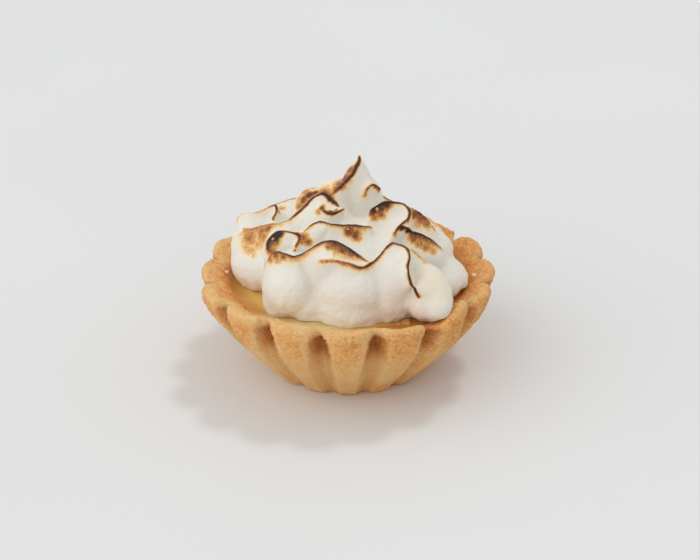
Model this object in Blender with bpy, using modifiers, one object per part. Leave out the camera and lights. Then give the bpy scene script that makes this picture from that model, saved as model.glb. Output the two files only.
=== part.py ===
"""Lemon meringue tartlet: a fluted shortcrust shell, lemon curd and one mound of torched meringue.

Run with: blender --background --python part.py
The base rests on z = 0 and its centre is the origin. The photographed side faces -Y.
"""

import math

import bmesh
import bpy
import numpy as np
from mathutils import Euler, Vector, noise
from mathutils.bvhtree import BVHTree

MM = 0.001
GAP = 0.3 * MM  # kept between pieces that touch

# Shell
SHELL_HEIGHT = 24.0 * MM
BASE_RADIUS = 19.3 * MM
FLOOR_THICKNESS = 4.5 * MM
FLOOR_RADIUS = 12.0 * MM
# The two sides of the wall: radius and depth below the rim, in mm
INNER_WALL = ((16.5, 16.5), (20.5, 11.5), (24.3, 7.0), (27.4, 3.5), (30.6, 1.7))
RIM_LINE = ((32.3, 0.75), (34.0, 0.0), (35.0, 0.7), (35.15, 1.7), (35.05, 3.0))
OUTER_WALL = ((34.4, 5.4), (32.7, 8.2), (29.2, 12.8), (26.2, 16.5), (21.9, 21.3), (20.0, 23.4))

# Flutes
FLUTES = 16
FIRST_FLUTE = -90.0  # degrees, the middle of the flute that faces the camera
COLUMNS_PER_FLUTE = 8
CORNER_COLUMN = 0.5  # where the corner's column lies among the columns of half a flute
FACE_FLATNESS = 0.7  # 0 for a round face, 1 for a flat one
NOTCH_DROP = 0.9 * MM  # how much lower the rim is between two flutes
INNER_FLUTE = 0.9 * MM  # the valleys on the inner side of the rim
PETAL_ROUND = (2.3 * MM, 1.9 * MM)  # how far a flute's outer and inner side fall back from its middle
ROUND_ZONE = (0.45, 0.85)  # share of the height over which the outer side's rounding comes in
LIP_ZONE = (0.86, 0.97)  # share of the height over which the inner side's flutes come in
RIM_UNEVEN = 0.45 * MM
WALL_UNEVEN = 0.012  # share of the radius
RIM_NOISE = (7.0, 4.5)  # seed and waviness of the rim's height
WALL_NOISE = (3.0, 1.6)  # seed and waviness of the wall's radius
REACH_ZONE = (0.6, 0.9)  # share of the height over which a flute comes to stand farther out
TOP_ZONE = (0.84, 1.0)  # share of the height over which the rim's ups and downs come in
RIM_BAND = 1.6 * MM  # below the top, where the wall turns over into the rim
RIM_MIDDLE = 33.6 * MM  # radius where the rim's inner side becomes its outer side
TURN_WIDTH = 1.2 * MM  # over which it does
# From the base to the rim: share of the height, mm from a flute's corner in to the valley
# beside it, and the share of a flute that is flat
FLUTE_STEPS = (
    (0.0, 1.3, 0.46),
    (0.12, 1.9, 0.43),
    (0.30, 2.4, 0.43),
    (0.48, 3.0, 0.47),
    (0.68, 3.5, 0.55),
    (0.82, 3.4, 0.62),
    (0.90, 2.9, 0.66),
    (0.945, 1.7, 0.7),
    (0.97, 1.0, 0.72),
    (1.0, 0.7, 0.72),
)
# How much farther out each flute stands near the rim (mm), from the camera's flute round by the right
FLUTE_REACH = (0, 0, 0.3, 0.4, 0, 0, -0.4, -0.4, -0.4, -0.4, -0.3, 0, 0, 0.7, 0.6, 0)

# Where the rim is lower or higher than the rest: degrees round from the right, mm
RIM_LIFTS = (
    (0, 0.3), (11, -0.5), (22, 0.3), (34, -0.5), (56, -0.3), (90, 0.0), (124, -0.3), (146, -0.5), (157, 0.3),
    (169, -0.5), (182, 0.3), (191, -0.5), (202, 0.3), (214, -0.3), (226, 0.6), (236, 0.4), (247, 0.9),
    (258, 0.7), (270, 0.9), (281, 0.7), (292, 0.9), (300, -0.1), (306, -1.5), (310, -1.6), (314, -0.3),
    (318, 0.9), (321, 1.5), (324, 0.9), (327, -0.7), (333, 0.3), (340, 0.4), (349, -0.5), (360, 0.3),
)

# Filling
CURD_DEPTH = 3.6 * MM  # below the rim, under the meringue
CURD_EDGE_GAP = 1.05 * MM  # measured level, along a wall that leans
CURD_LIP = 2.3 * MM  # how far the curd climbs the shell at the front left
LIP_DIRECTION = math.radians(246.0)
LIP_SPAN = 0.5  # radians

# Meringue
VOXEL = 0.85 * MM
FINE_VOXEL = 0.5 * MM
MERINGUE_TRIANGLES = 7200
CREST_SAMPLES_PER_MM = 3
CREST_ROUNDING = 0.35 * MM
CREST_TAPER = 1.5 * MM  # over which a ridge dies away at its two ends
FOOT_SMOOTHING = 4  # passes that even out where along the surface a ridge is pulled from
# Each pass over the ridges: share of the way up to the crest, share of the reach
PULLS = ((0.6, 1.0), (0.9, 0.8), (1.0, 0.6))

# Lobes under the ridges: centre, radii (mm, z above the rim) and turns about X, Y and Z (degrees)
LOBES = (
    ((0.0, 0.0, 3.0), (17.0, 16.0, 9.0), (0, 0, 0)),
    ((-19.0, 2.5, 0.6), (9.2, 11.0, 7.6), (0, 0, 0)),
    ((-12.8, -12.0, 1.0), (7.2, 9.0, 7.4), (0, 0, 0)),
    ((1.4, -12.8, 1.8), (10.2, 10.4, 8.4), (0, 0, 0)),
    ((0.8, -17.3, -2.8), (8.6, 6.7, 6.6), (0, 0, 0)),
    ((-8.5, -15.3, -2.4), (5.4, 5.7, 6.0), (0, 0, 0)),
    ((-15.0, -14.2, -2.4), (4.8, 4.9, 5.8), (0, 0, 0)),
    ((9.5, -15.5, 0.0), (6.0, 6.5, 8.5), (0, 0, 0)),
    ((10.3, -15.5, 4.0), (4.6, 6.5, 8.5), (0, 0, 0)),
    ((19.3, -19.1, 2.5), (4.5, 4.2, 7.0), (-39, -20, 0)),
    ((18.2, -17.3, -0.8), (4.6, 4.6, 4.5), (0, 0, 0)),
    ((13.2, -13.5, 6.0), (4.2, 4.5, 7.0), (0, 0, 0)),
    ((-15.5, -1.5, 6.5), (5.0, 4.5, 4.5), (0, 0, 0)),
    ((-14.5, -6.9, 8.8), (3.4, 2.6, 4.2), (0, 0, 0)),
    ((-17.4, -8.0, 7.2), (2.4, 2.6, 4.0), (0, 0, 0)),
    ((-9.4, -6.9, 9.2), (3.4, 2.8, 4.2), (0, 0, 0)),
    ((-4.6, -14.8, 6.0), (4.5, 4.0, 6.6), (0, 0, 0)),
    ((-23.5, 3.5, 3.5), (4.6, 6.0, 5.0), (0, 0, 0)),
    ((20.6, -3.5, -1.2), (8.0, 9.0, 4.8), (0, 0, 0)),
    ((19.5, 2.0, 3.4), (5.8, 6.0, 4.6), (0, 0, 0)),
    ((13.5, 10.0, 0.5), (11.0, 10.0, 7.0), (0, 0, 0)),
    ((0.0, 12.5, 2.5), (14.0, 11.5, 9.5), (0, 0, 0)),
    ((-15.5, 13.0, 0.8), (10.5, 9.0, 7.0), (0, 0, 0)),
    ((-6.0, 4.0, 8.0), (8.0, 7.5, 8.2), (0, 0, 0)),
    ((-8.5, 6.5, 11.0), (5.0, 5.0, 6.3), (0, 0, 0)),
    ((2.5, 9.4, 12.2), (6.2, 5.2, 8.0), (0, 0, 0)),
    ((2.2, 8.8, 17.0), (3.5, 3.5, 6.0), (0, 0, 0)),
    ((-3.5, 7.0, 13.0), (5.0, 5.0, 6.5), (0, 0, 0)),
    ((10.0, 2.0, 7.4), (6.6, 6.6, 6.0), (0, 0, 0)),
    ((16.5, 1.5, 6.0), (5.5, 5.0, 5.5), (0, 0, 0)),
    ((16.5, -5.0, 3.5), (6.5, 5.0, 6.0), (0, 0, 0)),
)

# Ridges pulled up by the spoon: reach of the pull over the surface in front of the crest and
# behind it (mm), then points of the crest (mm, z above the rim)
RIDGES = (
    (
        (1.9, 1.4),  # front left
        ((-19.6, -12.5, 3.0), (-19.3, -12.5, 6.7), (-17.7, -13.2, 9.9), (-16.2, -13.8, 11.0)),
        ((-13.6, -15.0, 10.8), (-12.0, -15.3, 10.6), (-9.1, -15.5, 12.1), (-6.0, -15.0, 14.0)),
        ((-3.4, -14.5, 14.0), (-0.7, -14.5, 13.1), (2.0, -15.5, 11.1), (4.5, -17.0, 9.7)),
    ),
    (
        (1.4, 1.5),  # front right
        ((-6.5, -18.5, 10.9), (-3.4, -19.0, 11.2), (0.2, -19.5, 10.7), (2.6, -19.5, 9.7)),
        ((4.4, -19.0, 9.9), (6.8, -18.0, 11.8), (9.2, -16.5, 13.9), (10.4, -16.0, 14.2)),
        ((13.0, -16.3, 13.3), (14.0, -18.6, 12.4), (13.6, -20.8, 10.7), (13.6, -21.8, 10.0)),
        ((13.9, -22.6, 8.9), (15.3, -23.8, 5.3), (15.9, -23.6, 4.1)),
    ),
    (
        (1.6, 1.1),  # top edge of the tongue
        ((13.6, -16.0, 13.2), (15.6, -15.4, 11.0), (18.6, -15.2, 8.5), (20.2, -13.8, 6.6)),
        ((21.6, -11.8, 4.3),),
    ),
    (
        (1.4, 1.2),  # curl at the left
        ((-18.7, -9.8, 9.5), (-18.5, -8.2, 11.2), (-16.4, -6.5, 12.6), (-13.8, -7.0, 12.6)),
        ((-11.6, -7.8, 12.3), (-11.2, -8.8, 11.6), (-12.4, -11.0, 10.1)),
    ),
    (
        (1.5, 1.3),  # middle
        ((-10.1, -8.0, 13.4), (-7.7, -7.0, 14.9), (-6.0, -7.0, 15.5), (-3.5, -7.8, 15.0)),
        ((1.2, -7.0, 14.4), (6.5, -6.0, 13.3)),
    ),
    (
        (1.8, 1.4),  # left shoulder
        ((-25.7, 1.0, 9.7), (-23.0, 0.4, 10.0), (-18.9, 0.0, 11.3), (-15.4, 0.0, 11.7)),
        ((-12.4, 0.8, 13.3), (-10.9, 1.3, 14.3), (-8.3, 2.2, 17.0), (-7.1, 2.4, 17.7)),
        ((-5.7, 2.4, 17.9), (-4.0, 1.4, 16.9), (-2.2, 0.6, 16.0)),
    ),
    (
        (1.0, 1.0),  # step
        ((-5.6, 0.0, 16.2), (-6.2, -1.0, 15.7), (-4.4, -2.4, 15.1), (-2.9, -2.3, 15.3)),
        ((-0.8, -1.2, 15.8), (0.4, -0.9, 15.8)),
    ),
    (
        (1.6, 1.3),  # far left
        ((-27.5, 7.0, 8.3), (-25.8, 9.0, 9.6), (-22.0, 10.0, 9.8), (-18.5, 11.0, 11.0)),
        ((-17.5, 10.5, 11.4), (-17.3, 8.6, 10.6), (-18.3, 6.4, 9.6)),
    ),
    (
        (2.0, 2.0),  # peak
        ((2.7, 9.2, 26.4), (2.7, 8.5, 25.3), (2.7, 7.6, 24.2), (2.1, 6.6, 23.2)),
        ((1.2, 5.3, 21.8), (-0.2, 4.9, 20.2), (-1.5, 4.2, 19.0), (-2.7, 3.0, 18.4)),
        ((-3.5, 2.4, 17.8),),
    ),
    (
        (1.1, 1.0),  # beside the peak
        ((3.9, 3.9, 16.2), (4.6, 4.3, 18.3), (6.1, 5.2, 19.0), (7.8, 6.2, 17.6)),
        ((8.7, 6.2, 17.0),),
    ),
    (
        (1.7, 1.3),  # right
        ((4.7, -3.0, 15.5), (5.5, -1.6, 16.1), (8.2, -0.2, 17.1), (10.1, 0.0, 17.3)),
        ((13.0, -0.2, 16.6), (14.4, -1.8, 15.6), (14.0, -3.8, 14.6), (12.4, -5.6, 14.0)),
        ((10.4, -8.6, 12.4),),
    ),
    (
        (1.4, 1.3),  # behind the right one
        ((14.3, 1.0, 15.6), (16.5, 0.8, 14.2), (18.8, 0.0, 12.5), (20.0, -0.5, 11.2)),
    ),
    (
        (1.7, 1.2),  # far right
        ((12.1, -6.5, 13.8), (14.5, -6.0, 12.5), (16.9, -5.6, 11.5), (19.3, -5.2, 10.0)),
        ((21.8, -4.6, 7.4), (22.6, -4.4, 6.2)),
    ),
    (
        (1.8, 1.6),  # back
        ((22.5, 6.0, 6.4), (19.5, 11.0, 7.6), (14.0, 13.5, 8.9), (8.0, 16.5, 11.6)),
        ((2.0, 18.5, 13.6), (-4.0, 18.0, 13.0), (-8.5, 15.5, 12.8), (-10.5, 12.5, 13.2)),
    ),
    (
        (1.6, 1.4),  # back, low at the left
        ((-24.5, 12.5, 5.6), (-20.0, 17.0, 7.4), (-14.0, 19.5, 9.0), (-8.5, 21.0, 8.2)),
        ((-4.0, 23.0, 5.6),),
    ),
    (
        (1.5, 1.4),  # back, low at the right
        ((3.5, 23.5, 5.0), (8.5, 21.5, 7.6), (14.0, 18.5, 7.8), (19.0, 16.0, 5.2)),
    ),
)


def clear_scene():
    """Remove what Blender starts with."""
    for item in list(bpy.data.objects):
        bpy.data.objects.remove(item)


def make_material(name, colour, roughness):
    """Return a plain Principled material with an sRGB colour."""
    material = bpy.data.materials.new(name)
    material.use_nodes = True
    shader = material.node_tree.nodes["Principled BSDF"]
    linear = [((part / 255 + 0.055) / 1.055) ** 2.4 for part in colour]
    shader.inputs["Base Color"].default_value = (*linear, 1.0)
    shader.inputs["Roughness"].default_value = roughness
    shader.inputs["Metallic"].default_value = 0.0
    return material


def add_object(name, mesh, collection):
    """Link a new object with this mesh into the collection."""
    item = bpy.data.objects.new(name, mesh)
    collection.objects.link(item)
    return item


def baked(item):
    """Return the mesh that an object's modifiers give, and remove the object."""
    graph = bpy.context.evaluated_depsgraph_get()
    mesh = bpy.data.meshes.new_from_object(item.evaluated_get(graph))
    bpy.data.objects.remove(item)
    return mesh


def read_points(mesh):
    points = np.empty(len(mesh.vertices) * 3, np.float32)
    mesh.vertices.foreach_get("co", points)
    return points.reshape(-1, 3).astype(np.float64)


def write_points(mesh, points):
    mesh.vertices.foreach_set("co", points.astype(np.float32).ravel())
    mesh.update()


def turned(name, profile, steps, collection):
    """Turn a profile of (radius, height) points round Z with a Screw modifier."""
    mesh = bpy.data.meshes.new(name)
    points = [(radius, 0.0, height) for radius, height in profile]
    mesh.from_pydata(points, [(i, i + 1) for i in range(len(points) - 1)], [])
    item = add_object(name, mesh, collection)
    screw = item.modifiers.new("Turn", "SCREW")
    screw.steps = steps
    screw.render_steps = steps
    screw.use_merge_vertices = True
    screw.merge_threshold = 0.00001
    screw.use_normal_calculate = True
    return baked(item)


def uneven(angles, seed, scale):
    """A smooth uneven number for each angle, from -1 to 1, the same after a full turn."""
    return np.array(
        [noise.noise(Vector((scale * math.cos(a), scale * math.sin(a), seed))) for a in angles]
    )


def flute_columns(angles):
    """For each angle: place in its flute (0 in the middle, 1 in the valley), and which side."""
    pitch = 2 * math.pi / FLUTES
    turn = (angles - math.radians(FIRST_FLUTE)) / pitch
    place = (turn - np.round(turn)) * 2
    return np.abs(place), np.sign(place), np.round(turn) * pitch + math.radians(FIRST_FLUTE)


def flute_shape(points):
    """Move the vertices of the turned shell so that its side is fluted and its rim scalloped."""
    radius = np.hypot(points[:, 0], points[:, 1])
    angle = np.arctan2(points[:, 1], points[:, 0])
    share = np.clip(points[:, 2] / SHELL_HEIGHT, 0, 1)
    column, side, middle = flute_columns(angle)
    steps, depths, flats = np.array(FLUTE_STEPS).T
    flat = np.interp(share, steps, flats)
    depth = np.interp(share, steps, depths) * MM
    place = np.where(
        column < CORNER_COLUMN,
        column / CORNER_COLUMN * flat,
        flat + (column - CORNER_COLUMN) / (1 - CORNER_COLUMN) * (1 - flat),
    )
    half_pitch = math.pi / FLUTES
    angle = middle + side * place * half_pitch
    valley = np.sin(np.clip((place - flat) / (1 - flat), 0, 1) * math.pi / 2)
    bulge = np.cos(flat * half_pitch) / np.cos(np.minimum(place, flat) * half_pitch)
    outer = outer_share(radius, points[:, 2])
    upper = np.interp(share, REACH_ZONE, (0, 1))
    lip = (1 - outer) * eased(share, LIP_ZONE)
    sunk = (depth * outer + INNER_FLUTE * lip) * valley
    sunk += place**2 * (PETAL_ROUND[0] * outer * eased(share, ROUND_ZONE) + PETAL_ROUND[1] * lip)
    swell = 1 + (bulge - 1) * outer * FACE_FLATNESS
    radius = radius * swell - sunk + flute_reach(angle) * outer * upper
    lift = rim_lift(angle) - NOTCH_DROP * valley
    height = points[:, 2] + lift * np.interp(share, TOP_ZONE, (0, 1))
    return out_of_round(np.column_stack([radius * np.cos(angle), radius * np.sin(angle), height]))


def eased(share, zone):
    """0 before a zone of the height, 1 after it and a smooth way between them."""
    part = np.clip((share - zone[0]) / (zone[1] - zone[0]), 0, 1)
    return part * part * (3 - 2 * part)


def rim_lift(angles):
    """How much higher than the rest the rim is at each angle."""
    lifts = np.interp(np.degrees(angles) % 360, *np.array(RIM_LIFTS).T) * MM
    return lifts + uneven(angles, *RIM_NOISE) * RIM_UNEVEN


def inner_radius(points, height):
    """Radius of the shell's inner side beside each point, at the given heights."""
    angle = np.arctan2(points[:, 1], points[:, 0])
    share = np.clip(height / SHELL_HEIGHT, 0, 1)
    place, _, _ = flute_columns(angle)
    flat = FLUTE_STEPS[-1][2]
    valley = np.sin(np.clip((place - flat) / (1 - flat), 0, 1) * math.pi / 2)
    fall = (PETAL_ROUND[1] * place**2 + INNER_FLUTE * valley) * eased(share, LIP_ZONE)
    lift = rim_lift(angle) * np.interp(share, TOP_ZONE, (0, 1))
    return wall_radius(INNER_WALL + RIM_LINE[:2], height - lift) - fall


def flute_reach(angles):
    """How much farther out the shell stands at each angle, most at the middle of a flute."""
    turn = (angles - math.radians(FIRST_FLUTE)) / (2 * math.pi) * FLUTES
    reach = np.array(FLUTE_REACH)[np.round(turn).astype(int) % FLUTES] * MM
    return reach * np.cos((turn - np.round(turn)) * math.pi)


def out_of_round(points):
    """Make the shell, and what fills it, a little less round towards the rim."""
    angle = np.arctan2(points[:, 1], points[:, 0])
    share = np.clip(points[:, 2] / SHELL_HEIGHT, 0, 1)
    scale = 1 + uneven(angle, *WALL_NOISE) * WALL_UNEVEN * share
    return np.column_stack([points[:, 0] * scale, points[:, 1] * scale, points[:, 2]])


def outer_share(radius, height):
    """1 on the shell's outer side, 0 on its inner side, and between the two across the rim."""
    inner, outer = (wall_radius(wall, height) for wall in (INNER_WALL, OUTER_WALL))
    middle = np.where(height > SHELL_HEIGHT - RIM_BAND, RIM_MIDDLE, (inner + outer) / 2)
    return np.clip((radius - middle) / TURN_WIDTH + 0.5, 0, 1)


def wall_radius(wall, height):
    """Radius of one side of the wall at each height."""
    steps = np.array(sorted((point[1], point[0]) for point in wall_points(wall)))
    return np.interp(height, steps[:, 0], steps[:, 1])


def wall_points(wall):
    """One side of the wall as (radius, height) points in metres."""
    return [(radius * MM, SHELL_HEIGHT - depth * MM) for radius, depth in wall]


def shell_profile():
    """The shell's half section, from the floor's middle up the inside and down the outside."""
    floor = [(0.0, FLOOR_THICKNESS), (FLOOR_RADIUS, FLOOR_THICKNESS)]
    base = [(BASE_RADIUS, 0.0), (0.5 * BASE_RADIUS, 0.0), (0.0, 0.0)]
    return floor + wall_points(INNER_WALL + RIM_LINE + OUTER_WALL) + base


def make_crust(collection, material):
    mesh = turned("crust", shell_profile(), FLUTES * COLUMNS_PER_FLUTE, collection)
    write_points(mesh, flute_shape(read_points(mesh)))
    mesh.materials.clear()
    mesh.materials.append(material)
    mesh.shade_smooth()
    return add_object("crust", mesh, collection)


def curd_profile():
    """The filling's half section: its underside follows the shell with a gap, its top is flat."""
    top = SHELL_HEIGHT - CURD_DEPTH
    shell = [(FLOOR_RADIUS, FLOOR_THICKNESS)] + wall_points(INNER_WALL[:3])
    under = [(0.0, FLOOR_THICKNESS + GAP)] + [(radius - GAP, height + GAP) for radius, height in shell]
    edge = [(curd_edge(top - 0.5 * MM), top - 0.5 * MM), (curd_edge(top) - 0.5 * MM, top)]
    over = [(25.2 * MM, top), (22.0 * MM, top), (12.0 * MM, top), (0.0, top)]
    return (under + edge + over)[::-1]


def curd_edge(height):
    """How far out the curd reaches at a height."""
    return wall_radius(INNER_WALL, height) - CURD_EDGE_GAP


def raise_lip(points):
    """Let the curd climb the shell at the front left."""
    radius = np.hypot(points[:, 0], points[:, 1])
    angle = np.arctan2(points[:, 1], points[:, 0])
    off = np.angle(np.exp(1j * (angle - LIP_DIRECTION)))
    edge = radius > curd_edge(SHELL_HEIGHT - CURD_DEPTH) - MM
    lift = CURD_LIP * np.exp(-((off / LIP_SPAN) ** 2)) * edge
    height = points[:, 2] + lift
    spread = inner_radius(points, height) - CURD_EDGE_GAP - curd_edge(points[:, 2])
    scale = 1 + spread * edge / np.maximum(radius, MM)
    return out_of_round(np.column_stack([points[:, 0] * scale, points[:, 1] * scale, height]))


def make_curd(collection, material):
    mesh = turned("lemon_curd", curd_profile(), 64, collection)
    write_points(mesh, raise_lip(read_points(mesh)))
    mesh.materials.clear()
    mesh.materials.append(material)
    mesh.shade_smooth()
    return add_object("lemon_curd", mesh, collection)


def joined_lobes(collection):
    """One mesh that holds every lobe as a sphere, not yet fused."""
    lobes = bmesh.new()
    for centre, radii, turns in LOBES:
        made = bmesh.ops.create_uvsphere(lobes, u_segments=32, v_segments=20, radius=1.0)
        turn = Euler([math.radians(part) for part in turns]).to_matrix().to_4x4()
        for vertex in made["verts"]:
            scaled = Vector([part * size * MM for part, size in zip(vertex.co, radii)])
            vertex.co = turn @ scaled + Vector(rim_point(centre))
    mesh = bpy.data.meshes.new("lobes")
    lobes.to_mesh(mesh)
    lobes.free()
    return add_object("lobes", mesh, collection)


def rim_point(point):
    """A point given in mm with its height above the rim, in metres above the base."""
    x, y, z = point
    return (x * MM, y * MM, z * MM + SHELL_HEIGHT)


def fused(item, voxel, smoothing):
    """Fuse an object's parts into one skin and round what lies between them."""
    remesh = item.modifiers.new("Fuse", "REMESH")
    remesh.mode = "VOXEL"
    remesh.voxel_size = voxel
    if smoothing:
        smooth = item.modifiers.new("Round", "SMOOTH")
        smooth.factor = 0.5
        smooth.iterations = smoothing
    return baked(item)


def smooth_curve(points, count):
    """Points along a smooth curve through the given ones, evenly spaced."""
    points = np.array(points)
    padded = np.vstack([2 * points[0] - points[1], points, 2 * points[-1] - points[-2]])
    dense = []
    for a, b, c, d in zip(padded, padded[1:], padded[2:], padded[3:]):
        for t in np.linspace(0, 1, 24, endpoint=False):
            bend = (2 * a - 5 * b + 4 * c - d) * t**2 + (3 * b - a - 3 * c + d) * t**3
            dense.append(0.5 * (2 * b + (c - a) * t + bend))
    dense = np.array(dense + [points[-1]])
    along = np.concatenate([[0], np.cumsum(np.linalg.norm(np.diff(dense, axis=0), axis=1))])
    wanted = np.linspace(0, along[-1], count)
    return np.column_stack([np.interp(wanted, along, dense[:, axis]) for axis in range(3)])


def pull_ridge(mesh, crest, front, behind, share):
    """Pull the surface up towards a crest curve, so that it meets in an edge and dies away from it."""
    points = read_points(mesh)
    tree = BVHTree.FromPolygons([tuple(p) for p in points], [tuple(f.vertices) for f in mesh.polygons])
    feet = np.array([tree.find_nearest(Vector(point))[0] for point in crest])
    for _ in range(FOOT_SMOOTHING):
        feet[1:-1] = (feet[:-2] + feet[1:-1] + feet[2:]) / 3
    feet = np.array([tree.find_nearest(Vector(point))[0] for point in feet])
    pull = (crest - feet) * share * tapered(crest)
    nearest, distance = nearest_on_curve(points, feet)
    tangent = np.gradient(feet, axis=0)
    ahead = np.column_stack([tangent[:, 1], -tangent[:, 0], np.zeros(len(feet))])
    ahead /= np.maximum(np.linalg.norm(ahead, axis=1, keepdims=True), 1e-9)
    side = ((points - feet[nearest]) * ahead[nearest]).sum(axis=1)
    reach = np.where(side > 0, front, behind) * MM
    rounded = np.hypot(distance, CREST_ROUNDING) - CREST_ROUNDING
    points += pull[nearest] * np.exp(-rounded / reach)[:, None]
    write_points(mesh, points)


def tapered(curve):
    """1 along a curve, falling to almost nothing at its two ends, as a column."""
    along = np.arange(1, len(curve) + 1) / CREST_SAMPLES_PER_MM * MM
    return np.clip(np.minimum(along, along[::-1]) / CREST_TAPER, 0, 1)[:, None]


def nearest_on_curve(points, curve):
    """For each point, the index of the nearest curve point and the distance to it."""
    nearest = np.zeros(len(points), int)
    distance = np.full(len(points), np.inf)
    for index, spot in enumerate(curve):
        away = np.linalg.norm(points - spot, axis=1)
        closer = away < distance
        nearest[closer] = index
        distance[closer] = away[closer]
    return nearest, distance


def cut_flat(mesh, height):
    """Cut a mesh off below a height and close it with a flat face."""
    work = bmesh.new()
    work.from_mesh(mesh)
    everything = work.verts[:] + work.edges[:] + work.faces[:]
    cut = bmesh.ops.bisect_plane(
        work, geom=everything, plane_co=(0, 0, height), plane_no=(0, 0, 1), clear_inner=True
    )
    edges = [part for part in cut["geom_cut"] if isinstance(part, bmesh.types.BMEdge)]
    bmesh.ops.holes_fill(work, edges=edges)
    bmesh.ops.triangulate(work, faces=work.faces[:])
    bmesh.ops.recalc_face_normals(work, faces=work.faces[:])
    work.to_mesh(mesh)
    work.free()


def thinned(item, triangles):
    """Bring an object down to about this many triangles."""
    now = sum(len(face.vertices) - 2 for face in item.data.polygons)
    decimate = item.modifiers.new("Thin", "DECIMATE")
    decimate.ratio = min(1.0, triangles / now)
    return baked(item)


def keep_off_shell(mesh):
    """Press the meringue in where it would touch the inside of the shell."""
    points = read_points(mesh)
    radius = np.hypot(points[:, 0], points[:, 1])
    angle = np.arctan2(points[:, 1], points[:, 0])
    limit = inner_radius(points, points[:, 2] - NOTCH_DROP) - 2 * GAP
    limit = np.where(points[:, 2] - rim_lift(angle) > SHELL_HEIGHT + GAP, radius, limit)
    scale = np.minimum(1, limit / np.maximum(radius, MM))
    write_points(mesh, points * np.column_stack([scale, scale, np.ones(len(scale))]))


def make_meringue(collection, material):
    mesh = fused(joined_lobes(collection), VOXEL, 6)
    for share, nearness in PULLS:
        for (front, behind), *rows in RIDGES:
            points = [rim_point(point) for row in rows for point in row]
            length = sum(math.dist(a, b) for a, b in zip(points, points[1:]))
            crest = smooth_curve(points, int(length / MM * CREST_SAMPLES_PER_MM))
            pull_ridge(mesh, crest, front * nearness, behind * nearness, share)
        mesh = fused(add_object("pulled", mesh, collection), FINE_VOXEL, 1)
    keep_off_shell(mesh)
    mesh = thinned(add_object("dense", mesh, collection), MERINGUE_TRIANGLES)
    cut_flat(mesh, SHELL_HEIGHT - CURD_DEPTH + GAP)
    mesh.materials.clear()
    mesh.materials.append(material)
    mesh.shade_smooth()
    return add_object("meringue", mesh, collection)


def main():
    clear_scene()
    bpy.context.scene.unit_settings.scale_length = 1.0
    collection = bpy.data.collections.new("lemon_meringue_tartlet")
    bpy.context.scene.collection.children.link(collection)
    make_crust(collection, make_material("baked_shortcrust", (206, 150, 92), 0.75))
    make_curd(collection, make_material("lemon_curd", (214, 172, 88), 0.35))
    make_meringue(collection, make_material("torched_meringue", (236, 226, 206), 0.6))


if __name__ == "__main__":
    main()
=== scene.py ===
"""The looks of a lemon meringue tartlet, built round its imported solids.

Laid out as a Blender add-on. Run as a script, it registers its classes and calls each operator once:
the pastry shell, its crumbs, the lemon curd, the meringue, the small beads and the stage.
Lengths are in metres unless a name or a comment says mm. Heights given in mm are above the rim.
"""

import math

import bmesh
import bpy
import numpy as np
from bpy.props import FloatProperty, FloatVectorProperty, IntProperty, PointerProperty
from mathutils import Euler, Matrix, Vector, noise
from mathutils.bvhtree import BVHTree


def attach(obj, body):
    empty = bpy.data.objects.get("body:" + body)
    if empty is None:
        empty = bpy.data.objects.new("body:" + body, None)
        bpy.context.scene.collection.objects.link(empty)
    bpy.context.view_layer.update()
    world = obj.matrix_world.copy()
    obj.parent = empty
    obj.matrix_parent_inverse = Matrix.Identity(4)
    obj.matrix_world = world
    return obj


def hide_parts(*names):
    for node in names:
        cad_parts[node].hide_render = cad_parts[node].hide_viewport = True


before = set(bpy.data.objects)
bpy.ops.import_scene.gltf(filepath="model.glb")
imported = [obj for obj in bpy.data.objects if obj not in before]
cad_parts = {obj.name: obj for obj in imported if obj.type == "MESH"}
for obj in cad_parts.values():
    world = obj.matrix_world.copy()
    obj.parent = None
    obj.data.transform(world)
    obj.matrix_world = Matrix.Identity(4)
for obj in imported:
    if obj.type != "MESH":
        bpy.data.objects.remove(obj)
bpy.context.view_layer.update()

bl_info = {
    "name": "Lemon Meringue Tartlet",
    "version": (1, 0, 0),
    "blender": (4, 5, 0),
    "location": "View3D > Sidebar > Tartlet",
    "description": "Pastry shell, lemon curd and torched meringue round a packed tartlet model",
    "category": "Add Mesh",
}

MM = 0.001

# The two sides of the shell's wall, its rim, floor and base: radius and depth below the rim (mm)
INNER_WALL = ((16.5, 16.5), (20.5, 11.5), (24.3, 7.0), (27.4, 3.5), (30.6, 1.7))
RIM_LINE = ((32.3, 0.75), (33.3, 0.15), (34.0, 0.0), (34.6, 0.15), (35.0, 0.7), (35.1, 1.6), (34.7, 3.0))
OUTER_WALL = ((33.9, 5.4), (32.5, 8.2), (29.2, 12.8), (26.2, 16.5), (21.9, 21.3), (20.0, 23.4))
FLOOR_LINE = ((0.0, 19.5), (12.0, 19.5))
BASE_LINE = ((19.3, 24.0), (16.0, 24.0), (0.0, 24.0))

# From the base to the rim: share of the height, mm from a flute's corner in to the valley
# beside it, and the share of a flute that is flat
FLUTE_STEPS = (
    (0.0, 1.3, 0.46),
    (0.12, 1.9, 0.43),
    (0.30, 2.4, 0.43),
    (0.48, 3.0, 0.47),
    (0.68, 3.5, 0.55),
    (0.82, 3.4, 0.62),
    (0.90, 2.9, 0.66),
    (0.945, 1.7, 0.7),
    (0.97, 1.0, 0.72),
    (1.0, 0.7, 0.72),
)
PETAL_ROUND = (2.3, 1.9)  # mm that a flute's outer and inner side fall back from its middle, near the rim
INNER_FLUTE = 0.9  # mm, the valleys on the inner side of the rim
DEEPEST_FLUTE = 5.0  # mm, the top of the curve that holds the depths
FACE_FLATNESS = 0.55  # 0 for a round face, 1 for a flat one
RIM_MIDDLE = 33.0  # mm, radius where the rim's inner side starts to become its outer side
TURN_WIDTH = 1.2  # mm, over which it does
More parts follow.
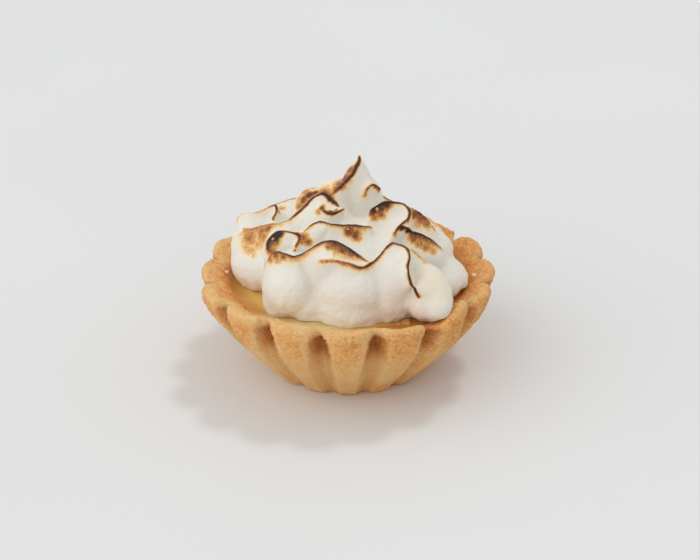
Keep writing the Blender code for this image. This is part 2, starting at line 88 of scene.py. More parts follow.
# Shares of the height over which something comes in: the rounding of the outer side, the valleys
# of the inner side, the reach of single flutes, and the rim's ups and downs
ROUND_ZONE = (0.45, 0.85)
LIP_ZONE = (0.86, 0.97)
REACH_ZONE = (0.6, 0.9)
TOP_ZONE = (0.84, 1.0)
RELIEF_START = (0.2 * MM, 1.5 * MM)  # heights above the base between which the relief comes in
RIM_NOISE = (7.0, 4.0)  # seed and waviness of the rim's height
WALL_NOISE = (3.0, 1.3)  # seed and waviness of the wall's radius
WALL_UNEVEN = 0.006  # share of the radius
SECTION_POINTS = {"inside": 5, "bowl": 20, "rim": 26, "outside": 76}  # along each stretch of the section
CRUMB_RADIUS = 30.5  # mm, crumbs lie only outside it
PER_CM2 = 1.0e4  # square centimetres in a square metre
# How much farther out each flute stands near the rim (mm), from the camera's flute round by the right
FLUTE_REACH = (0, 0, 0.3, 0.4, 0, 0, -0.4, -0.4, -0.4, -0.4, -0.3, 0, 0, 1.3, 0.8, 0)
MOST_REACH = 1.5  # mm
# Where the rim is lower or higher than the rest: degrees round from the right, mm
RIM_LIFTS = (
    (0, 0.3), (11, -0.5), (22, 0.3), (34, -0.5), (56, -0.3), (90, 0.0), (124, -0.3), (146, -0.5), (157, 0.3),
    (169, -0.5), (182, 0.3), (191, -0.5), (202, 0.3), (214, -0.3), (226, 0.6), (236, 0.4), (247, 0.9),
    (258, 0.7), (270, 0.9), (281, 0.7), (292, 0.9), (300, -0.1), (306, -1.5), (310, -1.6), (314, -0.3),
    (318, 0.9), (321, 1.5), (324, 0.9), (327, -0.7), (333, 0.3), (340, 0.4), (349, -0.5), (360, 0.3),
)
MOST_LIFT = 2.5  # mm
FIRST_FLUTE = math.radians(-90.0)  # the middle of the flute that faces the camera
CORNER_COLUMN = 0.5  # where the corner's column lies among the columns of half a flute
RIGHT_SIDE_SHADE = 0.22  # painted shade: how much darker the shell is coloured towards its right edge, the side away from the light

# Lobes under the ridges: centre and radii (mm), and for one that leans its turns about X, Y and Z (degrees)
LOBES = (
    ((0.0, 0.0, 3.0), (17.0, 16.0, 9.0)),
    ((-19.0, 2.5, 0.6), (9.2, 11.0, 7.6)),
    ((-12.8, -12.0, 1.0), (7.2, 9.0, 7.4)),
    ((1.4, -12.8, 1.8), (10.2, 10.4, 8.4)),
    ((0.8, -17.3, -2.8), (8.6, 6.7, 6.6)),
    ((-8.5, -15.3, -2.4), (5.4, 5.7, 6.0)),
    ((-15.0, -14.2, -2.4), (4.8, 4.9, 5.8)),
    ((9.5, -15.5, 0.0), (6.0, 6.5, 8.5)),
    ((10.3, -15.5, 4.0), (4.6, 6.5, 8.5)),
    ((19.3, -19.1, 2.5), (4.5, 4.2, 7.0), (-39, -20, 0)),
    ((18.2, -17.3, -0.8), (4.6, 4.6, 4.5)),
    ((20.5, -21.5, 0.6), (3.4, 3.6, 3.4)),
    ((16.8, -20.8, 0.8), (3.0, 3.4, 3.8)),
    ((13.2, -14.0, 5.4), (4.0, 4.0, 6.2)),
    ((-15.5, -1.5, 6.5), (5.0, 4.5, 4.5)),
    ((-14.5, -6.9, 8.8), (3.4, 2.6, 4.2)),
    ((-17.4, -8.0, 7.2), (2.4, 2.6, 4.0)),
    ((-9.4, -6.9, 9.2), (3.4, 2.8, 4.2)),
    ((-4.6, -14.8, 6.0), (4.5, 4.0, 6.6)),
    ((-23.5, 3.5, 3.5), (4.6, 6.0, 5.0)),
    ((20.6, -3.5, -1.2), (8.0, 9.0, 4.8)),
    ((19.5, 2.0, 3.4), (5.8, 6.0, 4.6)),
    ((13.5, 10.0, 0.5), (11.0, 10.0, 7.0)),
    ((0.0, 12.5, 2.5), (14.0, 11.5, 9.5)),
    ((-15.5, 13.0, 0.8), (10.5, 9.0, 7.0)),
    ((-6.0, 4.0, 8.0), (8.0, 7.5, 8.2)),
    ((-8.5, 6.5, 11.0), (5.0, 5.0, 6.3)),
    ((2.5, 9.4, 12.2), (6.2, 5.2, 8.0)),
    ((2.2, 8.8, 17.0), (3.5, 3.5, 6.0)),
    ((-3.5, 7.0, 13.0), (5.0, 5.0, 6.5)),
    ((10.0, 2.0, 7.4), (6.6, 6.6, 6.0)),
    ((16.5, 1.5, 6.0), (5.5, 5.0, 5.5)),
    ((16.5, -5.0, 3.5), (6.5, 5.0, 6.0)),
)

# Ridges pulled up by the spoon. reach: how far the pull goes over the surface in front of the
# crest and behind it (mm). crest: points of the crest (mm). scorch: along the crest, from 0 to 1,
# the burnt line's strength, then width (mm) and strength of the browning in front and behind.
RIDGES = (
    dict(
        name="front left",
        reach=(1.9, 1.4),
        crest=(
            (-19.6, -12.5, 3.0), (-19.3, -12.5, 6.7), (-17.7, -13.2, 9.9), (-16.2, -13.8, 11.0),
            (-13.6, -15.0, 10.8), (-12.0, -15.3, 10.6), (-9.1, -15.5, 12.1), (-6.0, -15.0, 14.0),
            (-3.4, -14.5, 14.0), (-0.7, -14.5, 13.1), (2.0, -15.5, 11.1), (4.5, -17.0, 9.7),
        ),
        scorch=(
            (0.0, 0.3, 0.6, 0.1, 0.5, 0.1),
            (0.15, 0.5, 0.9, 0.35, 0.6, 0.2),
            (0.3, 0.85, 2.2, 0.5, 0.7, 0.35),
            (0.5, 0.9, 1.4, 0.45, 0.7, 0.35),
            (0.62, 0.95, 1.2, 0.5, 0.7, 0.3),
            (0.72, 1.0, 3.6, 0.85, 0.7, 0.3),
            (0.88, 1.0, 2.6, 0.8, 0.8, 0.3),
            (1.0, 0.5, 0.8, 0.3, 0.6, 0.2),
        ),
    ),
    dict(
        name="front right",
        reach=(1.4, 1.5),
        crest=(
            (-6.5, -18.5, 10.9), (-3.4, -19.0, 11.2), (0.2, -19.5, 10.7), (2.6, -19.5, 9.7),
            (4.4, -19.0, 9.9), (6.8, -18.0, 11.8), (9.2, -16.5, 13.9), (10.4, -16.0, 14.2),
            (13.0, -16.3, 13.3), (14.0, -18.6, 12.4), (13.6, -20.8, 10.7), (13.6, -21.8, 10.0),
            (13.9, -22.6, 8.9), (15.3, -23.8, 5.3), (15.9, -23.6, 4.1),
        ),
        scorch=(
            (0.0, 0.3, 1.2, 0.4, 0.6, 0.2),
            (0.15, 0.5, 1.2, 0.45, 0.6, 0.3),
            (0.32, 0.95, 0.9, 0.5, 0.9, 0.45),
            (0.5, 1.0, 0.8, 0.45, 1.0, 0.5),
            (0.62, 1.0, 0.6, 0.4, 0.8, 0.4),
            (0.8, 1.0, 0.7, 0.4, 0.6, 0.4),
            (0.92, 1.0, 0.7, 0.6, 0.7, 0.5),
            (1.0, 0.7, 0.5, 0.4, 0.5, 0.3),
        ),
    ),
    dict(
        name="top edge of the tongue",
        reach=(1.6, 1.1),
        crest=(
            (13.6, -16.0, 13.2), (15.6, -15.4, 11.0), (18.6, -15.2, 8.5), (20.2, -13.8, 6.6),
            (21.6, -11.8, 4.3),
        ),
        scorch=((0.0, 0.5, 0.8, 0.4, 0.5, 0.2), (0.5, 0.25, 0.6, 0.25, 0.5, 0.2), (1.0, 0, 0.5, 0, 0.5, 0)),
    ),
    dict(
        name="curl at the left",
        reach=(1.4, 1.2),
        crest=(
            (-18.7, -9.8, 9.5), (-18.5, -8.2, 11.2), (-16.4, -6.5, 12.6), (-13.8, -7.0, 12.6),
            (-11.6, -7.8, 12.3), (-11.2, -8.8, 11.6), (-12.4, -11.0, 10.1),
        ),
        scorch=(
            (0.0, 0.9, 1.6, 0.8, 0.6, 0.3),
            (0.3, 1.0, 2.6, 0.95, 0.7, 0.4),
            (0.5, 1.0, 0.7, 0.6, 0.6, 0.4),
            (0.75, 0.95, 0.5, 0.3, 0.8, 0.5),
            (1.0, 0.6, 0.5, 0.2, 0.6, 0.3),
        ),
    ),
    dict(
        name="middle",
        reach=(1.5, 1.3),
        crest=(
            (-10.1, -8.0, 13.4), (-7.7, -7.0, 14.9), (-6.0, -7.0, 15.5), (-3.5, -7.8, 15.0),
            (1.2, -7.0, 14.4), (6.5, -6.0, 13.3),
        ),
        scorch=(
            (0.0, 0.4, 0.8, 0.3, 0.5, 0.2),
            (0.2, 0.95, 0.7, 0.5, 0.8, 0.5),
            (0.5, 1.0, 0.9, 0.5, 0.8, 0.4),
            (0.7, 0.95, 2.2, 0.6, 0.6, 0.3),
            (0.9, 0.7, 1.2, 0.4, 0.5, 0.2),
            (1.0, 0.4, 0.6, 0.2, 0.5, 0.1),
        ),
    ),
    dict(
        name="left shoulder",
        reach=(1.8, 1.4),
        crest=(
            (-25.7, 1.0, 9.7), (-23.0, 0.4, 10.0), (-18.9, 0.0, 11.3), (-15.4, 0.0, 11.7),
            (-12.4, 0.8, 13.3), (-10.9, 1.3, 14.3), (-8.3, 2.2, 17.0), (-7.1, 2.4, 17.7),
            (-5.7, 2.4, 17.9), (-4.0, 1.4, 16.9), (-2.2, 0.6, 16.0),
        ),
        scorch=(
            (0.0, 0.2, 3.0, 0.4, 0.5, 0.1),
            (0.25, 0.55, 3.2, 0.5, 0.5, 0.2),
            (0.45, 0.8, 1.2, 0.35, 0.8, 0.4),
            (0.6, 0.95, 0.5, 0.3, 2.6, 0.6),
            (0.8, 1.0, 0.4, 0.3, 3.4, 0.65),
            (0.92, 1.0, 0.9, 0.7, 1.2, 0.8),
            (1.0, 0.8, 0.7, 0.5, 0.7, 0.5),
        ),
    ),
    dict(
        name="step",
        reach=(1.0, 1.0),
        crest=(
            (-5.6, 0.0, 16.2), (-6.2, -1.0, 15.7), (-4.4, -2.4, 15.1), (-2.9, -2.3, 15.3),
            (-0.8, -1.2, 15.8), (0.4, -0.9, 15.8),
        ),
        scorch=(
            (0.0, 0.4, 0.8, 0.5, 0.5, 0.4),
            (0.3, 0.8, 0.7, 0.5, 0.9, 0.6),
            (0.6, 1.0, 0.6, 0.5, 0.7, 0.5),
            (0.8, 0.6, 0.5, 0.3, 0.5, 0.3),
            (1.0, 0.2, 0.5, 0.1, 0.5, 0.1),
        ),
    ),
    dict(
        name="far left",
        reach=(1.6, 1.3),
        crest=(
            (-27.5, 7.0, 8.3), (-25.8, 9.0, 9.6), (-22.0, 10.0, 9.8), (-18.5, 11.0, 11.0),
            (-17.5, 10.5, 11.4), (-17.3, 8.6, 10.6), (-18.3, 6.4, 9.6),
        ),
        scorch=(
            (0.0, 0.3, 0.8, 0.25, 0.5, 0.2),
            (0.5, 0.4, 0.7, 0.25, 0.6, 0.3),
            (0.75, 0.95, 0.5, 0.4, 0.9, 0.6),
            (1.0, 0.7, 0.5, 0.3, 0.7, 0.4),
        ),
    ),
    dict(
        name="peak",
        reach=(2.0, 2.0),
        crest=(
            (2.7, 9.2, 26.4), (2.7, 8.5, 25.3), (2.7, 7.6, 24.2), (2.1, 6.6, 23.2), (1.2, 5.3, 21.8),
            (-0.2, 4.9, 20.2), (-1.5, 4.2, 19.0), (-2.7, 3.0, 18.4), (-3.5, 2.4, 17.8),
        ),
        scorch=(
            (0.0, 0.5, 0.5, 0.4, 0.4, 0.3),
            (0.3, 0.95, 1.5, 0.75, 0.4, 0.3),
            (0.6, 1.0, 2.2, 0.8, 0.4, 0.3),
            (0.85, 0.7, 2.2, 0.72, 0.5, 0.4),
            (1.0, 0.4, 1.4, 0.5, 0.5, 0.3),
        ),
    ),
    dict(
        name="beside the peak",
        reach=(1.1, 1.0),
        crest=((3.9, 3.9, 16.2), (4.6, 4.3, 18.3), (6.1, 5.2, 19.0), (7.8, 6.2, 17.6), (8.7, 6.2, 17.0)),
        scorch=(
            (0.0, 0.2, 0.8, 0.4, 0.5, 0.4),
            (0.35, 0.6, 0.9, 0.5, 0.7, 0.4),
            (0.6, 1.0, 0.8, 0.5, 0.5, 0.4),
            (0.8, 0.8, 1.4, 0.7, 0.5, 0.4),
            (1.0, 0.4, 0.8, 0.4, 0.5, 0.2),
        ),
    ),
    dict(
        name="right",
        reach=(1.7, 1.3),
        crest=(
            (4.7, -3.0, 15.5), (5.5, -1.6, 16.1), (8.2, -0.2, 17.1), (10.1, 0.0, 17.3),
            (13.0, -0.2, 16.6), (14.4, -1.8, 15.6), (14.0, -3.8, 14.6), (12.4, -5.6, 14.0),
            (10.4, -8.6, 12.4),
        ),
        scorch=(
            (0.0, 0.7, 1.4, 0.6, 0.5, 0.2),
            (0.15, 0.9, 2.6, 0.85, 0.6, 0.3),
            (0.28, 1.0, 2.8, 0.85, 0.6, 0.4),
            (0.37, 1.0, 1.0, 0.6, 0.8, 0.5),
            (0.45, 0.95, 0.5, 0.4, 1.0, 0.6),
            (0.65, 1.0, 0.6, 0.4, 1.0, 0.7),
            (0.85, 1.0, 0.6, 0.5, 0.8, 0.6),
            (1.0, 0.5, 0.5, 0.2, 0.5, 0.2),
        ),
    ),
    dict(
        name="behind the right one",
        reach=(1.4, 1.3),
        crest=((14.3, 1.0, 15.6), (16.5, 0.8, 14.2), (18.8, 0.0, 12.5), (20.0, -0.5, 11.2)),
        scorch=(
            (0.0, 0.5, 0.7, 0.5, 0.8, 0.4),
            (0.3, 0.5, 2.6, 0.65, 0.8, 0.4),
            (0.6, 0.5, 3.0, 0.7, 0.8, 0.4),
            (1.0, 0.2, 2.0, 0.4, 0.6, 0.2),
        ),
    ),
    dict(
        name="far right",
        reach=(1.7, 1.2),
        crest=(
            (12.1, -6.5, 13.8), (14.5, -6.0, 12.5), (16.9, -5.6, 11.5), (19.3, -5.2, 10.0),
            (21.8, -4.6, 7.4), (22.6, -4.4, 6.2),
        ),
        scorch=(
            (0.0, 1.0, 0.8, 0.7, 0.6, 0.5),
            (0.25, 1.0, 2.2, 0.85, 0.6, 0.4),
            (0.5, 0.9, 2.6, 0.8, 0.6, 0.3),
            (0.75, 0.8, 2.2, 0.7, 0.5, 0.2),
            (1.0, 0.3, 0.8, 0.3, 0.5, 0.1),
        ),
    ),
    dict(
        name="back",
        reach=(1.8, 1.6),
        crest=(
            (22.5, 6.0, 6.4), (19.5, 11.0, 7.6), (14.0, 13.5, 8.9), (8.0, 16.5, 11.6),
            (2.0, 18.5, 13.6), (-4.0, 18.0, 13.0), (-8.5, 15.5, 12.8), (-10.5, 12.5, 13.2),
        ),
        scorch=(
            (0.0, 0.2, 0.8, 0.2, 0.6, 0.2),
            (0.25, 0.45, 1.4, 0.5, 2.0, 0.6),
            (0.5, 0.9, 1.0, 0.5, 1.2, 0.5),
            (0.75, 1.0, 0.8, 0.5, 2.4, 0.75),
            (1.0, 0.4, 0.6, 0.3, 0.8, 0.3),
        ),
    ),
    dict(
        name="back, low at the left",
        reach=(1.6, 1.4),
        crest=(
            (-24.5, 12.5, 5.6), (-20.0, 17.0, 7.4), (-14.0, 19.5, 9.0), (-8.5, 21.0, 8.2), (-4.0, 23.0, 5.6),
        ),
        scorch=(
            (0.0, 0.1, 0.6, 0.1, 0.6, 0.1),
            (0.4, 0.85, 0.7, 0.4, 1.8, 0.55),
            (0.7, 0.9, 0.7, 0.4, 1.2, 0.5),
            (1.0, 0.1, 0.6, 0.1, 0.6, 0.1),
        ),
    ),
    dict(
        name="back, low at the right",
        reach=(1.5, 1.4),
        crest=((3.5, 23.5, 5.0), (8.5, 21.5, 7.6), (14.0, 18.5, 7.8), (19.0, 16.0, 5.2)),
        scorch=(
            (0.0, 0.1, 0.6, 0.1, 0.6, 0.1),
            (0.5, 0.85, 0.8, 0.4, 2.2, 0.6),
            (1.0, 0.1, 0.6, 0.1, 0.6, 0.1),
        ),
    ),
)
# Each pass over the ridges: share of the way up and share of the reach
PULLS = ((0.6, 1.0), (0.9, 0.8), (1.0, 0.6))
CREST_SAMPLES_PER_MM = 3
CREST_ROUNDING = 0.2 * MM  # how blunt a crest's edge is
CREST_TAPER = 1.5 * MM  # from a ridge's end to where it is pulled up in full
PULL_MARGIN = 6  # times the reach, beyond which a pull isn't felt
FOOT_SMOOTHING = 4  # passes that even out where along the surface a ridge is pulled from
BODY_SMOOTHING = 10  # passes that round the fused lobes
SKIN_SMOOTHING = 1  # passes that round the finer skin after each pull
SHELL_GAP = 0.4 * MM  # kept between the meringue and the shell's inside
SHELL_LEAN = 0.9 * MM  # how much lower on the leaning wall that gap is measured
ABOVE_SHELL = 0.3 * MM  # above the rim, from where the meringue may hang over
CUT_ABOVE_CURD = 0.1 * MM  # where the meringue's foot is cut flat
# Bumps on a metre of noise: the spoon's soft dents, drawn out upwards, small bumps and the ragged foot
DENTS, DENTS_UPWARDS, BUMPS, RAGGED = 420.0, 0.35, 1100.0, 560.0
BUMPS_SHARE, RAGGED_SHARE = 0.5, 2.2  # of the height of the dents
FOOT_ZONE = (-2.5, 2.0)  # mm above the rim, where the ragged foot fades out
PINHOLE_DEPTH = 0.8  # share of its radius
CREST_LINE = 0.42 * MM  # half width of the burnt line along a crest
LINE_UNEVEN = (380.0, 0.5)  # bumps on a metre, and their share of the line's width
BROWNING_EDGE, PATCH_EDGE = 1.6, 2.6  # how sharply browning and a patch end
SHARED_SCORCH = 0.35  # of the weaker of line and browning, added to the stronger
SCORCH_MARGIN = 9 * MM  # beyond which the torching of a crest isn't seen
# Torched patches away from the crests, and a faint patch of painted shade on the tongue: centre, radius (mm)
# and strength
PATCHES = (
    # under the middle ridge
    ((0.3, -7.7, 13.2), 1.6, 0.72), ((1.8, -7.9, 12.3), 1.7, 0.66), ((2.3, -8.1, 11.6), 1.3, 0.5),
    # below the left shoulder
    ((-23.1, -0.9, 8.0), 2.6, 0.52), ((-20.2, -2.1, 9.1), 2.3, 0.5), ((-23.8, -2.1, 6.5), 2.0, 0.4),
    ((-23.0, -3.5, 6.2), 1.9, 0.38), ((-22.3, -4.7, 5.7), 1.3, 0.3), ((-21.2, -3.0, 7.4), 1.9, 0.38),
    ((-20.2, -1.3, 9.8), 1.6, 0.55), ((-18.8, -1.4, 10.7), 1.6, 0.58), ((-16.4, 9.8, 10.6), 1.3, 0.55),
    # the hump behind the left shoulder
    ((-11.6, 3.4, 14.3), 1.3, 0.6), ((-10.4, 3.8, 15.7), 1.5, 0.75), ((-9.2, 4.3, 16.8), 1.5, 0.85),
    ((-7.8, 4.5, 17.2), 1.2, 0.8), ((-11.4, 4.7, 15.6), 1.9, 0.42), ((-10.0, 6.3, 16.9), 1.7, 0.45),
    ((-8.3, 7.5, 17.1), 1.4, 0.4), ((-16.4, 15.8, 8.2), 1.5, 0.45),
    # where the left shoulder ends, and the step below it
    ((-4.2, 1.6, 17.0), 1.0, 0.85), ((-3.3, 1.0, 16.5), 0.9, 0.75), ((-2.6, 0.7, 16.0), 0.7, 0.6),
    ((-6.1, -0.8, 15.8), 0.9, 0.8), ((-7.0, -0.9, 14.8), 1.0, 0.5), ((-4.0, -1.7, 15.1), 0.9, 0.95),
    ((-2.8, -1.0, 15.3), 0.6, 0.7),
    # the curl
    ((-16.4, -7.4, 12.5), 1.6, 1.5), ((-17.0, -8.1, 11.9), 1.5, 1.3), ((-15.7, -6.9, 12.7), 0.9, 1.2),
    ((-17.8, -9.1, 10.7), 1.7, 0.66), ((-16.6, -8.9, 11.1), 1.4, 0.6), ((-18.0, -10.0, 9.6), 1.6, 0.6),
    ((-10.2, -8.7, 12.0), 1.4, 0.64), ((-9.2, -9.4, 11.1), 1.2, 0.6), ((-10.6, -9.3, 11.3), 1.0, 0.55),
    # the left face of the peak, and beside it
    ((0.4, 7.2, 22.0), 1.5, 0.68), ((-0.7, 6.2, 20.3), 1.9, 0.66), ((-1.7, 4.8, 19.4), 1.8, 0.64),
    ((-2.8, 4.0, 19.0), 1.2, 0.55), ((7.8, 6.4, 17.4), 1.1, 0.8), ((6.6, 5.6, 18.5), 0.8, 0.8),
    ((4.0, 4.2, 16.6), 0.8, 0.45),
    # the right ridge's face and what lies behind it
    ((5.8, -1.8, 15.7), 1.7, 0.85), ((7.5, -1.0, 15.8), 1.6, 0.8), ((9.2, -0.5, 16.4), 1.3, 0.85),
    ((7.5, -1.3, 14.7), 1.5, 0.6), ((6.3, -2.2, 14.1), 1.3, 0.5), ((8.2, -1.5, 14.0), 1.0, 0.42),
    ((15.5, -0.3, 14.0), 1.8, 0.66), ((16.9, -0.2, 12.7), 1.8, 0.6), ((18.6, -0.7, 11.6), 1.5, 0.52),
    ((20.1, 0.2, 10.1), 1.3, 0.4), ((16.4, -1.0, 11.7), 1.4, 0.42),
    # the far right ridge's start and face
    ((12.5, -6.4, 13.2), 0.9, 1.0), ((13.9, -6.0, 12.3), 0.9, 0.95), ((11.1, -7.7, 12.3), 1.0, 0.5),
    ((15.3, -6.6, 10.8), 1.7, 0.62), ((16.7, -6.9, 9.9), 1.7, 0.6), ((18.3, -7.2, 9.0), 1.6, 0.55),
    ((19.8, -7.3, 8.0), 1.3, 0.45),
    # over the tongue; then a faint cream tint on the tongue's face: painted shade warmed by light bounced off
    # the pastry, partly light torching
    ((14.8, -14.4, 11.3), 1.2, 0.55), ((16.0, -14.8, 10.4), 1.2, 0.48), ((17.6, -15.4, 9.2), 1.0, 0.4),
    ((19.0, -21.0, 6.0), 6.5, 0.09),
    # the front ridges
    ((-16.6, -14.0, 10.3), 1.3, 0.72), ((-14.8, -15.0, 10.3), 1.2, 0.62), ((-17.8, -13.6, 8.8), 1.4, 0.48),
    ((-16.0, -14.8, 9.2), 1.4, 0.42), ((-2.9, -15.6, 13.2), 1.7, 0.65), ((-1.1, -15.9, 12.3), 1.7, 0.7),
    ((0.7, -15.9, 11.3), 1.2, 0.65), ((-4.5, -16.1, 13.2), 1.1, 0.55),
)
# Pinholes in the foam, and small things stuck to the tartlet: centre and radius (mm)
PINHOLES = (
    ((17.3, -21.5, 1.3), 0.35), ((19.7, -22.3, 5.4), 0.3), ((7.9, -19.0, 10.8), 0.25),
    ((-4.1, -22.0, 2.8), 0.3), ((3.0, -22.5, 1.0), 0.3), ((-13.0, -19.5, 3.5), 0.3),
)
CARAMEL_BEADS = (
    ((-17.3, -8.4, 11.4), 0.36), ((0.0, -7.6, 13.6), 0.34), ((6.8, -1.3, 15.7), 0.4),
    ((13.9, -19.4, 9.0), 0.24), ((16.2, -6.4, 11.2), 0.22),
)
SUGAR_SPECKS = (((-28.8, 1.8, -2.0), 0.6), ((29.8, -1.1, -1.2), 0.6))
CURD_BEADS = (((13.2, -21.4, -3.4), 1.2), ((11.5, -22.0, -3.4), 0.6))
BEAD_FLATNESS = 0.7  # height over width

# The curd's section: radii (mm) of its level top and its edge, then radius and depth below its top
CURD_TOP_STEPS = (0.0, 26.0, 53)
CURD_EDGE_STEPS = (26.15, 26.9, 6)
CURD_UNDER = ((24.0, 3.2), (16.0, 12.0), (11.5, 15.2), (0.0, 15.2))
CURD_TURNS = 320  # columns of faces round it
CURD_OVERLAP = 0.2 * MM  # how far the curd's edge reaches into the pastry
LIP_DIRECTION = math.radians(246.0)  # where the curd climbs highest
LIP_SPAN = 0.5  # radians
CLIMB_ZONE = (24.6, 26.9)  # mm, radii between which the curd climbs
EDGE_CLIMB = 0.7 * MM  # all round, at the very edge
SKIN_TURN = math.radians(5.0)  # from where the curd climbs highest to the middle of its skin
SKIN_SPAN = math.radians(24.0)  # from its middle to its ends
SKIN_ZONE = (20.0, 22.5)  # mm, radii between which the skin begins
CURD_SHADE_START = ((-12.0, 8.0), (24.0, 22.0))  # from left to right (mm): radius where the painted shade on the curd begins, against the pastry
CURD_SHADE_WIDTH = 3.0  # mm
CURD_WAVES = (150.0, 0.18 * MM)  # bumps on a metre, and their height
SKIN_WRINKLES = (330.0, 0.22 * MM)
SKIN_DRAWN_OUT = (1.0, 3.0, 3.0)  # wrinkles run across, from left to right

# The photograph's frame in pixels, and the middle of the rim in it
FRAME_SIZE = (700.0, 560.0)
RIM_PIXEL = (348.0, 266.5)
# Where each light comes from and how wide it is (degrees)
KEY_LIGHT = ((0.32, 0.33, 1.0), 10.0)
SIDE_LIGHT = ((-0.95, -0.5, 0.5), 90.0)
LIGHT_COLOUR = (0.96, 0.99, 1.0)
SKY_COLOUR = (1.0, 0.985, 0.965)


def srgb(red, green, blue):
    """The scene's linear colour for an sRGB colour given from 0 to 255."""
    return tuple(((part / 255 + 0.055) / 1.055) ** 2.4 for part in (red, green, blue))


def colour_property(name, description, default):
    return FloatVectorProperty(
        name=name, description=description, subtype="COLOR", size=3, min=0.0, max=1.0, default=default
    )


def length_property(name, description, default):
    return FloatProperty(name=name, description=description, unit="LENGTH", precision=5, default=default)


class ShellSettings(bpy.types.PropertyGroup):
    """Sizes and colours of the pastry shell."""

    height: length_property("Height", "From the base to the rim", 24.0 * MM)
    flutes: IntProperty(name="Flutes", description="Flutes round the shell", default=16, min=6, max=40)
    columns: IntProperty(name="Columns", description="Columns of faces in each flute", default=44, min=8)
    notch_drop: length_property("Notch drop", "How much lower the rim is between flutes", 0.9 * MM)
    rim_uneven: length_property("Rim unevenness", "Ups and downs of the rim", 0.45 * MM)
    relief: length_property("Crumb relief", "Height of the crumbs baked into the surface", 0.55 * MM)
    waviness: length_property("Waviness", "Height of the slow bumps of the flutes", 0.3 * MM)
    crumbs: IntProperty(name="Crumbs", description="Loose crumbs on a cm2 where densest", default=60, min=0)
    smallest: length_property("Smallest crumb", "Radius of the smallest crumbs", 0.08 * MM)
    largest: length_property("Largest crumb", "Radius of the largest crumbs", 0.3 * MM)
    pale: colour_property("Pale", "Least baked pastry, low on the side", srgb(244, 203, 140))
    golden: colour_property("Golden", "Most of the pastry", srgb(250, 179, 100))
    # Toasted also colours the painted shade down the inside, on the right side and in the flute pockets
    toasted: colour_property("Toasted", "Browned faces and the inside", srgb(218, 139, 67))
    # Spark: pale crumbs, partly painted glints
    spark: colour_property("Spark", "Pale crumbs baked into the surface", srgb(240, 204, 146))
    # Pale crumbly rim and notch bridges, and painted highlights on the flutes' corners
    pale_edges_and_highlights: colour_property("Pale_edges_and_highlights", "Pale edges and notches", srgb(244, 212, 150))
    speck: colour_property("Speck", "Dark specks", srgb(140, 80, 36))


class CurdSettings(bpy.types.PropertyGroup):
    """Sizes and colours of the lemon curd."""

    depth: length_property("Depth", "From the rim down to the curd", 3.6 * MM)
    lip: length_property("Lip", "How far it climbs the shell at the front left", 2.6 * MM)
    colour: colour_property("Curd", "Colour of the curd", srgb(232, 187, 106))
    # Deep is the colour of painted shade on the curd along the pastry and under the meringue's tongue
    deep: colour_property("Deep", "Colour of the curd against the pastry", srgb(190, 122, 53))
    skin: colour_property("Skin", "Colour of its thin dried skin", srgb(226, 192, 132))
    streak: colour_property("Streak", "Colour of the skin's pale streaks", srgb(236, 214, 168))


class MeringueSettings(bpy.types.PropertyGroup):
    """Sizes and colours of the meringue."""

    voxel: length_property("Voxel", "Grid that fuses the lobes", 0.5 * MM)
    fine_voxel: length_property("Fine voxel", "Grid of the finished skin", 0.285 * MM)
    relief: length_property("Relief", "Height of the foam's small bumps", 0.15 * MM)
    white: colour_property("White", "Foam that the torch didn't reach", srgb(230, 226, 216))
    cream: colour_property("Cream", "Warmed foam", srgb(238, 220, 186))
    # Cream also colours the faint painted shade on the tongue's face
    gold: colour_property("Gold", "Lightly torched foam", srgb(222, 168, 96))
    brown: colour_property("Brown", "Well torched foam", srgb(150, 84, 36))
    burnt: colour_property("Burnt", "Charred crests", srgb(34, 18, 12))


class StageSettings(bpy.types.PropertyGroup):
    """The floor, the lights and the camera."""

    floor: colour_property("Floor", "Colour of the floor", srgb(225, 226, 227))
    elevation: FloatProperty(
        name="Elevation", description="Camera above the horizon", subtype="ANGLE", default=math.radians(27.0)
    )
    distance: length_property("Distance", "Camera to the middle of the rim", 375.0 * MM)
    lens: FloatProperty(name="Lens", description="Focal length in mm", default=80.7)
    key: FloatProperty(name="Key light", description="Strength from high at the back right", default=0.55)
    side: FloatProperty(name="Side light", description="Strength from the left, very soft", default=1.25)
    sky: FloatProperty(name="Fill light", description="Strength from all round", default=0.7)


def read_points(mesh):
    points = np.empty(len(mesh.vertices) * 3, np.float32)
    mesh.vertices.foreach_get("co", points)
    return points.reshape(-1, 3).astype(np.float64)


def write_points(mesh, points):
    mesh.vertices.foreach_set("co", points.astype(np.float32).ravel())
    mesh.update()


def read_normals(mesh):
    normals = np.empty(len(mesh.vertices) * 3, np.float32)
    mesh.vertices.foreach_get("normal", normals)
    return normals.reshape(-1, 3).astype(np.float64)


def write_attribute(mesh, name, values):
    """Store one number for each vertex, for a material or a node tree to read."""
    attribute = mesh.attributes.get(name) or mesh.attributes.new(name, "FLOAT", "POINT")
    attribute.data.foreach_set("value", np.asarray(values, np.float32))


def add_object(name, mesh):
    item = bpy.data.objects.new(name, mesh)
    bpy.context.scene.collection.objects.link(item)
    return item


def baked(item):
    """The mesh that an object's modifiers give. The object is removed."""
    graph = bpy.context.evaluated_depsgraph_get()
    mesh = bpy.data.meshes.new_from_object(item.evaluated_get(graph))
    bpy.data.objects.remove(item)
    return mesh


def finished(name, mesh, material, node=None):
    """Make the finished piece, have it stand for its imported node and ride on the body."""
    mesh.materials.clear()
    mesh.materials.append(material)
    mesh.shade_smooth()
    piece = add_object(name, mesh)
    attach(piece, "root")
    if node:
        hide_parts(node)
    return piece


